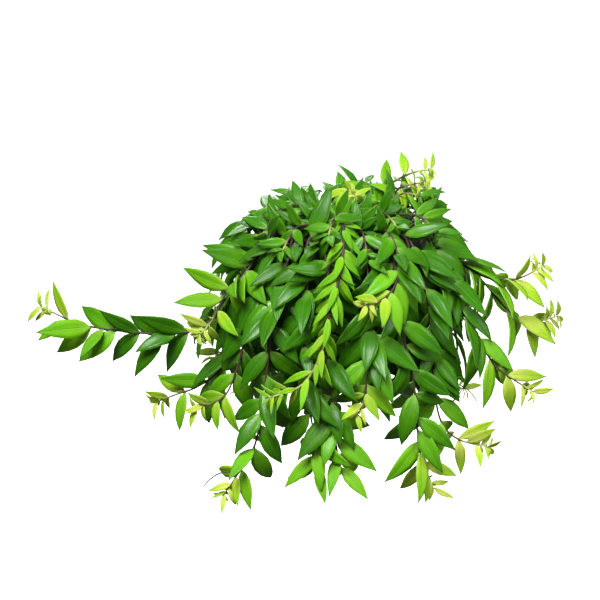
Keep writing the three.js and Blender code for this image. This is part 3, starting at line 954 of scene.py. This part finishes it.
class Signal:
    """A socket's value in a material. Arithmetic on it adds the Math nodes."""

    def __init__(self, tree: "Shading", socket: bpy.types.NodeSocket) -> None:
        """Wraps a socket of a node tree."""
        self.tree = tree
        self.socket = socket

    def __add__(self, other: "Signal | float") -> "Signal":
        """Sum."""
        return self.tree.maths("ADD", self, other)

    __radd__ = __add__

    def __sub__(self, other: "Signal | float") -> "Signal":
        """Difference."""
        return self.tree.maths("SUBTRACT", self, other)

    def __rsub__(self, other: "Signal | float") -> "Signal":
        """Difference, the other way round."""
        return self.tree.maths("SUBTRACT", other, self)

    def __mul__(self, other: "Signal | float") -> "Signal":
        """Product."""
        return self.tree.maths("MULTIPLY", self, other)

    __rmul__ = __mul__

    def __abs__(self) -> "Signal":
        """Size without its sign."""
        return self.tree.maths("ABSOLUTE", self)

    def sine(self) -> "Signal":
        """Sine of the value in radians."""
        return self.tree.maths("SINE", self)

    def ramp(self, low: float, high: float) -> "Signal":
        """Maps the value to an even rise from 0 to 1.

        Args:
            low: Value at which the rise starts.
            high: Value at which it ends.

        Returns:
            The mapped value.
        """
        node = self.tree.node(
            "ShaderNodeMapRange",
            {"interpolation_type": "SMOOTHSTEP"},
            {"Value": self, "From Min": low, "From Max": high},
        )
        return Signal(self.tree, node.outputs["Result"])


class Shading:
    """A material under construction."""

    def __init__(self, name: str) -> None:
        """Starts a material with its shader.

        Args:
            name: Name of the material.
        """
        self.material = bpy.data.materials.new(name)
        self.material.use_nodes = True
        self.nodes = self.material.node_tree.nodes
        self.links = self.material.node_tree.links
        self.surface = self.nodes["Principled BSDF"]

    def node(self, kind: str, settings: dict | None = None, inputs: dict | None = None) -> bpy.types.Node:
        """Adds a node.

        Args:
            kind: The node's type.
            settings: Its properties, or the stops of a ramp as "stops", set before its sockets.
            inputs: Values or signals of its sockets, by name or number.

        Returns:
            The node.
        """
        made = self.nodes.new(kind)
        for key, value in (settings or {}).items():
            if key == "stops":
                self.set_stops(made.color_ramp, value)
            else:
                setattr(made, key, value)
        for key, value in (inputs or {}).items():
            self.feed(made.inputs[key], value)
        return made

    def set_stops(self, ramp: bpy.types.ColorRamp, stops: Sequence[tuple[float, Colour]]) -> None:
        """Gives a colour ramp its stops.

        Args:
            ramp: The colour ramp.
            stops: Place and colour of each stop.
        """
        while len(ramp.elements) < len(stops):
            ramp.elements.new(1.0)
        for element, (place, colour) in zip(ramp.elements, stops, strict=True):
            element.position = place
            element.color = colour

    def feed(self, socket: bpy.types.NodeSocket, value: "Signal | float | Sequence[float]") -> None:
        """Links a signal to a socket, or sets its value.

        Args:
            socket: The socket.
            value: The signal or the value.
        """
        if isinstance(value, Signal):
            self.links.new(value.socket, socket)
        else:
            socket.default_value = value

    def maths(self, operation: str, *values: "Signal | float") -> Signal:
        """A Math node on one to three values."""
        node = self.node("ShaderNodeMath", {"operation": operation}, dict(enumerate(values)))
        return Signal(self, node.outputs[0])

    def blend(self, factor: Signal | float, low: Signal | Colour, high: Signal | Colour) -> Signal:
        """A colour between two colours."""
        node = self.node("ShaderNodeMix", {"data_type": "RGBA"}, {0: factor, 6: low, 7: high})
        return Signal(self, node.outputs[2])

    def scale_colour(self, colour: Signal, factor: Signal) -> Signal:
        """Makes a colour darker or lighter.

        Args:
            colour: The colour.
            factor: Its factor.

        Returns:
            The scaled colour.
        """
        grey = self.node("ShaderNodeCombineXYZ", None, {0: factor, 1: factor, 2: factor})
        made = self.node(
            "ShaderNodeVectorMath",
            {"operation": "MULTIPLY"},
            {0: colour, 1: Signal(self, grey.outputs[0])},
        )
        return Signal(self, made.outputs[0])

    def ramp_colour(self, factor: Signal, stops: Sequence[tuple[float, Colour]]) -> Signal:
        """A colour from a ramp."""
        node = self.node("ShaderNodeValToRGB", {"stops": stops}, {0: factor})
        return Signal(self, node.outputs[0])

    def attribute(self, name: str) -> tuple[Signal, Signal, Signal]:
        """Reads an attribute of the mesh.

        Args:
            name: Name of the attribute.

        Returns:
            Its three parts.
        """
        read = self.node("ShaderNodeAttribute", {"attribute_name": name})
        parts = self.node("ShaderNodeSeparateXYZ", None, {0: Signal(self, read.outputs["Vector"])})
        return tuple(Signal(self, output) for output in parts.outputs)

    def noise(self, scale: float, detail: float = 3.0) -> Signal:
        """Makes noise from the place in the object.

        Args:
            scale: Number of features to a metre.
            detail: Octaves of finer noise.

        Returns:
            The noise, from 0 to 1.
        """
        place = self.node("ShaderNodeTexCoord")
        node = self.node(
            "ShaderNodeTexNoise",
            None,
            {"Vector": Signal(self, place.outputs["Object"]), "Scale": scale, "Detail": detail},
        )
        return Signal(self, node.outputs[0])

    def bump(self, height: Signal, strength: float, distance: float) -> None:
        """Gives the surface relief.

        Args:
            height: Height at each place.
            strength: Share of the relief that shows.
            distance: Depth of the relief, in metres.
        """
        node = self.node(
            "ShaderNodeBump", None, {"Strength": strength, "Distance": distance, "Height": height}
        )
        self.feed(self.surface.inputs["Normal"], Signal(self, node.outputs[0]))

    def set_surface(self, **values: "Signal | float | Colour") -> None:
        """Sets sockets of the shader, written with underscores for spaces."""
        for key, value in values.items():
            self.feed(self.surface.inputs[key.replace("_", " ")], value)


@dataclass(frozen=True)
class LeafFinish:
    """The waxy blade: yellow-green when young, deep green when old, pale below, with a fine midrib."""

    bud: Colour = (0.38, 0.45, 0.07, 1)
    tip: Colour = (0.235, 0.365, 0.016, 1)
    young: Colour = (0.128, 0.325, 0.005, 1)
    grown: Colour = (0.078, 0.262, 0.002, 1)
    old: Colour = (0.024, 0.122, 0.001, 1)
    vein: Colour = (0.40, 0.62, 0.16, 1)
    cream: Colour = (0.52, 0.66, 0.28, 1)
    under: Colour = (0.17, 0.38, 0.05, 1)
    dry: Colour = (0.055, 0.060, 0.008, 1)
    stages: tuple[float, ...] = (0.0, 0.14, 0.36, 0.66, 1.0)
    cloud_scale: float = 55.0
    gloss_scale: float = 240.0
    vein_rows: float = 58.0
    vein_slant: float = 11.0
    relief_depth: float = 0.0006
    glow_reach: float = 0.003

    def material(self) -> bpy.types.Material:
        """Builds the leaf material from the attributes of the blades.

        Returns:
            The material.
        """
        shading = Shading("waxy_leaf")
        side, share, under = shading.attribute("blade")
        age, tone, warmth = shading.attribute("growth")
        cloud = shading.noise(self.cloud_scale)
        colours = (self.bud, self.tip, self.young, self.grown, self.old)
        ripeness = age + (tone - 0.5) * 0.24 + (cloud - 0.5) * 0.12 + (share - 0.4) * 0.32
        colour = shading.ramp_colour(ripeness, tuple(zip(self.stages, colours, strict=True)))
        edge = abs(side)
        midrib = 1 - edge.ramp(0.015, 0.075)
        rows = (share * self.vein_rows - edge * self.vein_slant).sine()
        veins = rows.ramp(0.72, 1.0) * (1 - edge.ramp(0.75, 1.0))
        margin = edge.ramp(0.90, 1.0)
        foot = 1 - share.ramp(0.0, 0.3)
        colour = shading.blend(midrib * 0.08 + margin * 0.09 + foot * 0.22, colour, self.vein)
        below = shading.blend(age.ramp(0.1, 0.6), self.cream, self.under)
        colour = shading.blend(under * 0.7, colour, below)
        colour = shading.blend(share.ramp(0.90, 1.0) * 0.7, colour, self.dry)
        colour = shading.scale_colour(colour, 0.84 + warmth * 0.3)
        gloss = shading.noise(self.gloss_scale)
        wax = age.ramp(0.45, 1.0) * (1 - under)
        shading.set_surface(
            Base_Color=colour,
            Roughness=0.52 - wax * 0.24 + gloss * 0.14,
            Coat_Weight=wax * warmth * 0.22,
            Coat_Roughness=0.2,
            Specular_IOR_Level=0.13,
            Subsurface_Weight=0.2,
            Subsurface_Radius=(0.4, 1.0, 0.1),
            Subsurface_Scale=self.glow_reach,
        )
        relief = midrib * -1.0 + veins * -0.26 + cloud * 0.35 + gloss * 0.12
        shading.bump(relief, 0.55, self.relief_depth)
        return shading.material


@dataclass(frozen=True)
class StemFinish:
    """The wiry stem: green at its end, dark red-brown where it is old."""

    green: Colour = (0.30, 0.38, 0.10, 1)
    tan: Colour = (0.20, 0.15, 0.055, 1)
    bark: Colour = (0.040, 0.020, 0.014, 1)

    def material(self) -> bpy.types.Material:
        """Builds the stem material from the age of the bark.

        Returns:
            The material.
        """
        shading = Shading("wiry_stem")
        age, _, _ = shading.attribute("growth")
        grain = shading.noise(420.0)
        stops = ((0.0, self.green), (0.35, self.tan), (0.7, self.bark), (1.0, self.bark))
        colour = shading.ramp_colour(age + (grain - 0.5) * 0.3, stops)
        shading.set_surface(Base_Color=colour, Roughness=0.45 + grain * 0.2)
        shading.bump(grain, 0.4, 0.0004)
        return shading.material


@dataclass(frozen=True)
class PotFinish:
    """Moulded plastic, a dark aubergine with a soft sheen and a little dust."""

    plastic: Colour = (0.022, 0.011, 0.026, 1)
    dust: Colour = (0.10, 0.075, 0.085, 1)

    def material(self) -> bpy.types.Material:
        """Builds the pot material.

        Returns:
            The material.
        """
        shading = Shading("pot_plastic")
        cloud = shading.noise(26.0, 5.0)
        grain = shading.noise(900.0, 2.0)
        colour = shading.blend(cloud.ramp(0.45, 0.8) * 0.35, self.plastic, self.dust)
        shading.set_surface(Base_Color=colour, Roughness=0.36 + cloud * 0.2)
        shading.bump(grain, 0.15, 0.0002)
        return shading.material


@dataclass(frozen=True)
class MixFinish:
    """Moist peat with bark and pale grains."""

    peat: Colour = (0.028, 0.016, 0.010, 1)
    bark: Colour = (0.11, 0.06, 0.032, 1)
    grain: Colour = (0.72, 0.70, 0.66, 1)

    def material(self) -> bpy.types.Material:
        """Builds the potting mix material.

        Returns:
            The material.
        """
        shading = Shading("moist_mix")
        kind, _, _ = shading.attribute("growth")
        crumb = shading.noise(520.0, 6.0)
        soil = shading.blend(crumb.ramp(0.35, 0.75), self.peat, self.bark)
        colour = shading.blend(kind.ramp(0.6, 0.9), soil, self.grain)
        shading.set_surface(Base_Color=colour, Roughness=0.85 + crumb * 0.1)
        shading.bump(crumb, 0.9, 0.0015)
        return shading.material


# Meshes


def settle(name: str, mesh: bmesh.types.BMesh) -> bpy.types.Mesh:
    """Turns a bmesh into mesh data and frees it.

    Args:
        name: Name of the data.
        mesh: The bmesh.

    Returns:
        The mesh data.
    """
    data = bpy.data.meshes.new(name)
    mesh.to_mesh(data)
    mesh.free()
    return data


def spin_profile(mesh: bmesh.types.BMesh, profile: Sequence[tuple[float, float]], steps: int) -> None:
    """Spins a line once about the pot's axis, and closes its seam and its poles.

    Args:
        mesh: The mesh that gets the shell.
        profile: Radius and height of each point of the line, in millimetres.
        steps: Number of facets round the axis.
    """
    verts = [mesh.verts.new(Vector((radius, 0, z)) * MILLIMETRE) for radius, z in profile]
    edges = [mesh.edges.new(pair) for pair in zip(verts, verts[1:], strict=False)]
    bmesh.ops.spin(
        mesh,
        geom=[*verts, *edges],
        cent=(0, 0, 0),
        axis=(0, 0, 1),
        angle=math.tau,
        steps=steps,
        use_merge=True,
    )
    bmesh.ops.remove_doubles(mesh, verts=mesh.verts, dist=1e-6)


def store(
    name: str, mesh: bmesh.types.BMesh, finishes: Sequence[bpy.types.Material]
) -> bpy.types.Object:
    """Makes a piece from a finished bmesh, which rides on the plant's one body.

    Args:
        name: Name of the piece.
        mesh: Its mesh, in metres and in place.
        finishes: Its materials.

    Returns:
        The piece.
    """
    for face in mesh.faces:
        face.smooth = True
    data = settle(name, mesh)
    for finish in finishes:
        data.materials.append(finish)
    piece = bpy.data.objects.new(name, data)
    bpy.context.scene.collection.objects.link(piece)
    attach(piece, "root")
    LOG.info("%s: %d faces", name, len(data.polygons))
    return piece


@dataclass
class ShootPiece:
    """The finer stem and blades of one shoot."""

    shoot: Shoot
    blade_rows: int = 8
    blade_columns: int = 4
    stem_sides: int = 7
    ring_step: float = 6.0
    base_radius: float = 1.6
    tip_radius: float = 0.75
    joint_swelling: float = 0.4
    joint_length: float = 3.2
    green_share: float = 0.35
    tendril_rings: int = 14
    tendril_radii: tuple[float, float] = (0.9, 0.6)
    petiole: float = 0.06
    petiole_width: float = 0.11
    thickness: tuple[float, float] = (0.55, 1.0)
    fullness: float = 1.16
    tip_taper: float = 0.2
    edge_crowding: float = 1.15
    fold_rise: tuple[float, float] = (1.75, 0.95)
    wave_count: float = 9.0
    wave_lag: float = 0.8
    wave_height: float = 0.06
    growth: bmesh.types.BMLayerItem = field(init=False)
    blade: bmesh.types.BMLayerItem = field(init=False)

    def build(self, finishes: Sequence[bpy.types.Material]) -> bpy.types.Object:
        """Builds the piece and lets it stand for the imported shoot.

        Args:
            finishes: Materials of the leaves and of the stem.

        Returns:
            The piece.
        """
        mesh = bmesh.new()
        self.growth = mesh.verts.layers.float_vector.new("growth")
        self.blade = mesh.verts.layers.float_vector.new("blade")
        draws = Draws(sum(map(ord, self.shoot.name)))
        for leaf in [*self.shoot.leaves, *self.shoot.extras]:
            self.add_leaf(mesh, leaf, draws)
        self.add_stem(mesh)
        if self.shoot.tendril:
            self.add_tendril(mesh)
        piece = store(self.shoot.name.replace("shoot", "vine"), mesh, finishes)
        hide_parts(self.shoot.name)
        return piece

    def add_leaf(self, mesh: bmesh.types.BMesh, leaf: Leaf, draws: Draws) -> None:
        """Adds one blade: a grid bent to the leaf's shape, then given its thickness.

        Args:
            mesh: The mesh of the piece.
            leaf: The leaf.
            draws: The row of draws for its tone and its waves.
        """
        columns, rows = self.blade_columns, self.blade_rows
        verts = bmesh.ops.create_grid(mesh, x_segments=columns, y_segments=rows, size=1.0)["verts"]
        flat = np.array([vert.co for vert in verts])
        side = np.sign(flat[:, 0]) * np.abs(flat[:, 0]) ** self.edge_crowding
        share = 0.5 - 0.5 * np.cos(math.pi * (flat[:, 1] + 1) / 2)
        tone, warmth, wave_at = draws(), draws(), draws() * math.tau
        inner = np.clip((share - self.petiole) / (1 - self.petiole), 0, 1)
        stalk = self.petiole_width * (1 - share) ** 0.5
        width = leaf.outline(inner) * (1 - inner) ** self.tip_taper * self.fullness
        half = leaf.half_width * np.maximum(width, stalk)
        steep, flattening = self.fold_rise
        fold = (steep * np.abs(side) - flattening * np.abs(side) ** 2) * half * leaf.FOLD
        wave = np.sin(share * self.wave_count + wave_at + side * self.wave_lag)
        wave *= side**2 * leaf.half_width * self.wave_height
        points = leaf.place(share, side, half, fold + wave)
        points += (leaf.root - leaf.point) * ((1 - share) ** 6)[:, None]
        for vert, point, s, u in zip(verts, points, side, share, strict=True):
            vert.co = Vector(point) * MILLIMETRE
            vert[self.growth] = (leaf.age, tone, warmth)
            vert[self.blade] = (s, u, 0.0)
        faces = list({face for vert in verts for face in vert.link_faces})
        bmesh.ops.recalc_face_normals(mesh, faces=faces)
        if sum((face.normal for face in faces), Vector()).dot(Vector(leaf.face)) < 0:
            bmesh.ops.reverse_faces(mesh, faces=faces)
        thickness = mix(*self.thickness, leaf.size) * MILLIMETRE
        shell = bmesh.ops.solidify(mesh, geom=faces, thickness=thickness)["geom"]
        for vert in shell:
            if isinstance(vert, bmesh.types.BMVert):
                vert[self.blade] = (*vert[self.blade][:2], 1.0)

    def add_stem(self, mesh: bmesh.types.BMesh) -> None:
        """Adds the stem, which is thicker at each pair of leaves.

        Args:
            mesh: The mesh of the piece.
        """
        line = self.shoot.line
        rings = math.ceil(line.length / self.ring_step)
        shares = np.arange(rings + 1) / rings
        centres = line.along(shares)
        swelling = np.zeros(rings + 1)
        for joint in sorted({tuple(np.round(leaf.root, 3)) for leaf in self.shoot.leaves}):
            gaps = np.linalg.norm(centres - np.array(joint), axis=1)
            swelling += self.joint_swelling * np.exp(-((gaps / self.joint_length) ** 2))
        radii = mix(self.base_radius, self.tip_radius, shares) * (1 + np.minimum(swelling, 0.5))
        greening = self.shoot.ageing * self.green_share
        ages = [smoothstep((1 - share) * line.length / greening) for share in shares]
        self.add_tube(mesh, centres, radii, ages)

    def add_tendril(self, mesh: bmesh.types.BMesh) -> None:
        """Adds a thin dry stalk, which bows from the stem.

        Args:
            mesh: The mesh of the piece.
        """
        start, middle, end = (np.array(point, float) for point in self.shoot.tendril)
        shares = np.linspace(0, 1, self.tendril_rings)
        t = shares[:, None]
        centres = start * (1 - t) ** 2 + middle * 2 * t * (1 - t) + end * t**2
        self.add_tube(mesh, centres, mix(*self.tendril_radii, shares), [1.0] * len(shares))

    def add_tube(
        self, mesh: bmesh.types.BMesh, centres: np.ndarray, radii: np.ndarray, ages: Sequence[float]
    ) -> None:
        """Adds a grid that is rolled into a tube and drawn to a point at both ends.

        Args:
            mesh: The mesh of the piece.
            centres: Middle of each ring, in millimetres.
            radii: Radius of each ring, in millimetres.
            ages: Age of the bark at each ring.
        """
        rings = len(centres) - 1
        made = bmesh.ops.create_grid(mesh, x_segments=self.stem_sides, y_segments=rings, size=1.0)
        frames = self.frames(centres)
        for vert in made["verts"]:
            column = round((vert.co.x + 1) / 2 * self.stem_sides) % self.stem_sides
            row = round((vert.co.y + 1) / 2 * rings)
            radius = radii[row] if 0 < row < rings else 0.0
            angle = column * math.tau / self.stem_sides
            normal, binormal = frames[row]
            place = centres[row] + (normal * math.cos(angle) + binormal * math.sin(angle)) * radius
            vert.co = Vector(place) * MILLIMETRE
            vert[self.growth] = (ages[row], 0.5, 0.5)
        faces = list({face for vert in made["verts"] for face in vert.link_faces})
        for face in faces:
            face.material_index = 1
        bmesh.ops.remove_doubles(mesh, verts=made["verts"], dist=1e-7)
        bmesh.ops.recalc_face_normals(mesh, faces=[face for face in faces if face.is_valid])

    @staticmethod
    def frames(centres: np.ndarray) -> list[tuple[np.ndarray, np.ndarray]]:
        """Works out two directions across a line at each of its points, which turn as little as they can.

        Args:
            centres: The points of the line.

        Returns:
            The two directions at each point.
        """
        frames = []
        normal = np.array([1.0, 0.0, 0.0])
        for tangent in np.gradient(centres, axis=0):
            tangent = unit(tangent)
            normal = unit(normal - tangent * float(normal @ tangent))
            frames.append((normal, cross(tangent, normal)))
        return frames


@dataclass
class Pot:
    """The round pot that hangs by the underside of its lip."""

    sizes: PotSizes = POT
    steps: int = 96
    round_edge: float = 0.45
    drain_facets: int = 24
    sharp_angle: float = 35

    def build(self, finish: bpy.types.Material) -> bpy.types.Object:
        """Spins the wall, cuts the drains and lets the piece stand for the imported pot.

        Args:
            finish: Its material.

        Returns:
            The piece.
        """
        wall = bmesh.new()
        spin_profile(wall, self.profile(), self.steps)
        bmesh.ops.recalc_face_normals(wall, faces=wall.faces)
        body = bpy.data.objects.new("pot_wall", settle("pot_wall", wall))
        cutter = self.drain_cutter()
        for each in (body, cutter):
            bpy.context.scene.collection.objects.link(each)
        cut = body.modifiers.new("drains", "BOOLEAN")
        cut.operation = "DIFFERENCE"
        cut.solver = "EXACT"
        cut.object = cutter
        seen = body.evaluated_get(bpy.context.evaluated_depsgraph_get())
        mesh = bmesh.new()
        mesh.from_mesh(seen.to_mesh())
        for each in (body, cutter):
            bpy.data.objects.remove(each)
        piece = store("grow_pot", mesh, [finish])
        piece.data.set_sharp_from_angle(angle=math.radians(self.sharp_angle))
        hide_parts("pot")
        return piece

    def profile(self) -> list[tuple[float, float]]:
        """Lists the line that is spun, from the middle of the underside to the middle of the floor.

        Returns:
            Radius and height of each point, in millimetres.
        """
        s = self.sizes
        round_edge = self.round_edge
        lip, top, under = s.lip_radius, s.height, s.underside_of_lip
        inner_lip = s.lip_radius - s.edge - s.wall
        return [
            (0, 0),
            (s.base_radius - s.edge, 0),
            (s.outer_radius(s.edge) - round_edge, s.edge * round_edge),
            (s.outer_radius(s.edge), s.edge),
            (s.neck_radius, under),
            (lip - round_edge, under),
            (lip, under + round_edge),
            (lip, top - s.edge),
            (lip - s.edge * round_edge, top - s.edge * round_edge),
            (lip - s.edge, top),
            (inner_lip, top),
            (inner_lip - round_edge, top - round_edge),
            (s.neck_radius - s.wall, under),
            (s.base_radius - s.wall, s.wall),
            (0, s.wall),
        ]

    def drain_cutter(self) -> bpy.types.Object:
        """Makes short round plugs where the drains go.

        Returns:
            The plugs, as one object.
        """
        s = self.sizes
        mesh = bmesh.new()
        for index in range(s.drain_count):
            x, y, _ = polar(index * 360 / s.drain_count, s.drain_ring, 0)
            bmesh.ops.create_cone(
                mesh,
                cap_ends=True,
                segments=self.drain_facets,
                radius1=s.drain_radius * MILLIMETRE,
                radius2=s.drain_radius * MILLIMETRE,
                depth=s.wall * 4 * MILLIMETRE,
                matrix=Matrix.Translation(Vector((x, y, 0)) * MILLIMETRE),
            )
        return bpy.data.objects.new("drain_plugs", settle("drain_plugs", mesh))


@dataclass
class PottingMix:
    """The crumbly mix that fills the pot, with bark chips and pale grains on top."""

    sizes: PotSizes = POT
    gap: float = 0.6
    rings: int = 18
    steps: int = 72
    mounds: tuple[float, float] = (17, 1.6)
    crumbs: tuple[float, float] = (4, 0.9)
    crumb_layer: float = 9
    chips: int = 260
    pale_share: float = 0.3
    pale_sizes: tuple[float, float] = (0.7, 1.3)
    bark_sizes: tuple[float, float] = (1.1, 2.6)
    bark_breadths: tuple[float, float] = (0.4, 0.8)
    tilt: float = 0.4
    seed: int = 4

    def build(self, finish: bpy.types.Material) -> bpy.types.Object:
        """Spins the mix, roughens its top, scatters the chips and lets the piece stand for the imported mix.

        Args:
            finish: Its material.

        Returns:
            The piece.
        """
        mesh = bmesh.new()
        growth = mesh.verts.layers.float_vector.new("growth")
        spin_profile(mesh, self.profile(), self.steps)
        self.roughen(mesh)
        draws = Draws(self.seed)
        for _ in range(self.chips):
            self.add_chip(mesh, growth, draws)
        bmesh.ops.recalc_face_normals(mesh, faces=mesh.faces)
        piece = store("moist_mix", mesh, [finish])
        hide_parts("potting_mix")
        return piece

    @property
    def top_radius(self) -> float:
        """Radius of the mix at its top."""
        return self.sizes.inner_radius(self.sizes.mix_level) - self.gap

    def profile(self) -> list[tuple[float, float]]:
        """Lists the line that is spun, from the middle of the floor to the middle of the top.

        Returns:
            Radius and height of each point, in millimetres.
        """
        s = self.sizes
        floor = s.wall + self.gap
        foot = [(0, floor), (s.inner_radius(floor) - self.gap, floor), (self.top_radius, s.mix_level - 1)]
        radii = [self.top_radius * (self.rings - ring) / self.rings for ring in range(1, self.rings + 1)]
        return foot + [(radius, s.mix_level) for radius in radii]

    def roughen(self, mesh: bmesh.types.BMesh) -> None:
        """Lifts and lowers the top of the mix.

        Args:
            mesh: The spun mix.
        """
        for vert in mesh.verts:
            if vert.co.z > (self.sizes.mix_level - 0.5) * MILLIMETRE:
                vert.co.z = self.surface(vert.co.x / MILLIMETRE, vert.co.y / MILLIMETRE) * MILLIMETRE

    def surface(self, x: float, y: float) -> float:
        """Finds the height of the mix at a place.

        Args:
            x: Place to the right of the pot's axis.
            y: Place behind it.

        Returns:
            The height, in millimetres.
        """
        broad = noise.noise(Vector((x, y, 0)) / self.mounds[0])
        fine = noise.noise(Vector((x, y, self.crumb_layer)) / self.crumbs[0])
        return self.sizes.mix_level + self.mounds[1] * broad + self.crumbs[1] * fine

    def add_chip(self, mesh: bmesh.types.BMesh, growth: bmesh.types.BMLayerItem, draws: Draws) -> None:
        """Adds one chip of bark or one pale grain that lies on the mix.

        Args:
            mesh: The mesh of the mix.
            growth: Its layer, where 1 marks a pale grain.
            draws: The row of draws.
        """
        radius = (self.top_radius - 4) * math.sqrt(draws())
        x, y, _ = polar(360 * draws(), radius, 0)
        pale = draws() < self.pale_share
        size = draws.within(*(self.pale_sizes if pale else self.bark_sizes))
        made = bmesh.ops.create_icosphere(mesh, subdivisions=1, radius=size * MILLIMETRE)["verts"]
        for vert in made:
            vert[growth] = (1.0 if pale else 0.0, 0.0, 0.0)
            vert.co *= 1 + 0.3 * noise.noise(vert.co * 900 + Vector((x, y, 0)))
        flat = (1, 0.85, 0.8) if pale else (1, draws.within(*self.bark_breadths), 0.35)
        bmesh.ops.scale(mesh, vec=flat, verts=made)
        turn = Matrix.Rotation(draws() * math.tau, 3, "Z")
        bmesh.ops.rotate(mesh, matrix=turn, verts=made)
        lean = Matrix.Rotation(draws.within(-self.tilt, self.tilt), 3, "X")
        bmesh.ops.rotate(mesh, matrix=lean, verts=made)
        place = Vector((x, y, self.surface(x, y) + size * 0.15)) * MILLIMETRE
        bmesh.ops.translate(mesh, vec=place, verts=made)


@dataclass(frozen=True)
class SoftBox:
    """A square light that looks at the plant: its place and side in metres, its power in watts."""

    name: str
    place: tuple[float, float, float]
    side: float
    power: float


@dataclass
class Studio:
    """A pale floor far below the hanging plant, soft light and the camera at the photograph's angle."""

    floor_height: float = -0.75
    floor_size: float = 90.0
    target: tuple[float, float, float] = (-0.045, 0.0, 0.0662)
    elevation: float = 18.0
    distance: float = 1.6
    view_width: float = 0.6
    sensor_width: float = 36.0
    clip_end: float = 120.0
    floor_colour: Colour = (0.95, 0.95, 0.95, 1)
    floor_glow: float = 0.9
    room_colour: Colour = (0.94, 1, 0.66, 1)
    room_strength: float = 0.21
    boxes: tuple[SoftBox, ...] = (
        SoftBox("key", (-0.55, -1.6, 2.1), 1.2, 148.0),
        SoftBox("crown", (0.3, 0.1, 2.4), 1.4, 6.0),
        SoftBox("side", (2.0, -0.9, 0.9), 1.2, 36.0),
        SoftBox("back", (-0.5, 2.2, 1.3), 1.4, 45.0),
    )

    def build(self) -> None:
        """Builds the floor, the lights and the camera."""
        self.add_floor()
        self.add_world()
        for box in self.boxes:
            self.add_light(box)
        self.add_camera()

    def add_floor(self) -> None:
        """Adds the plain floor, which lets no light back up into the plant."""
        mesh = bmesh.new()
        bmesh.ops.create_grid(mesh, x_segments=1, y_segments=1, size=self.floor_size / 2)
        bmesh.ops.translate(mesh, vec=(0, 0, self.floor_height), verts=mesh.verts)
        data = settle("floor", mesh)
        shading = Shading("pale_floor")
        shading.set_surface(Base_Color=self.floor_colour, Roughness=0.9)
        shading.set_surface(Emission_Color=(1, 1, 1, 1), Emission_Strength=self.floor_glow)
        data.materials.append(shading.material)
        floor = bpy.data.objects.new("floor", data)
        floor.visible_diffuse = floor.visible_glossy = False
        bpy.context.scene.collection.objects.link(floor)

    def add_world(self) -> None:
        """Fills the room with weak yellow-green light, and shows colours as they are."""
        bpy.context.scene.view_settings.view_transform = "Standard"
        world = bpy.data.worlds.new("soft_room")
        world.use_nodes = True
        background = world.node_tree.nodes["Background"]
        background.inputs["Color"].default_value = self.room_colour
        background.inputs["Strength"].default_value = self.room_strength
        bpy.context.scene.world = world

    def add_light(self, box: SoftBox) -> None:
        """Adds a soft box.

        Args:
            box: The soft box.
        """
        data = bpy.data.lights.new(box.name, "AREA")
        data.size = box.side
        data.energy = box.power
        light = bpy.data.objects.new(box.name, data)
        light.location = box.place
        light.rotation_euler = (Vector(self.target) - light.location).to_track_quat("-Z", "Y").to_euler()
        bpy.context.scene.collection.objects.link(light)

    def add_camera(self) -> None:
        """Adds the camera."""
        data = bpy.data.cameras.new("camera")
        data.sensor_width = self.sensor_width
        data.lens = data.sensor_width * self.distance / self.view_width
        data.clip_end = self.clip_end
        angle = math.radians(self.elevation)
        back = Vector((0, -math.cos(angle), math.sin(angle)))
        camera = bpy.data.objects.new("camera", data)
        camera.location = Vector(self.target) + back * self.distance
        camera.rotation_euler = (-back).to_track_quat("-Z", "Y").to_euler()
        bpy.context.scene.collection.objects.link(camera)
        bpy.context.scene.camera = camera


def main() -> None:
    """Builds the plant and the studio, piece by piece."""
    logging.basicConfig(level=logging.INFO, format="%(message)s")
    layout = Layout()
    layout.grow()
    leaves = sum(len(shoot.leaves) for shoot in layout.shoots)
    extras = sum(len(shoot.extras) for shoot in layout.shoots)
    LOG.info("%d leaves of the packed shoots, %d that fill them out", leaves, extras)
    finishes = [LeafFinish().material(), StemFinish().material()]
    for shoot in layout.shoots:
        ShootPiece(shoot).build(finishes)
    Pot().build(PotFinish().material())
    PottingMix().build(MixFinish().material())
    Studio().build()


if __name__ == "__main__":
    main()
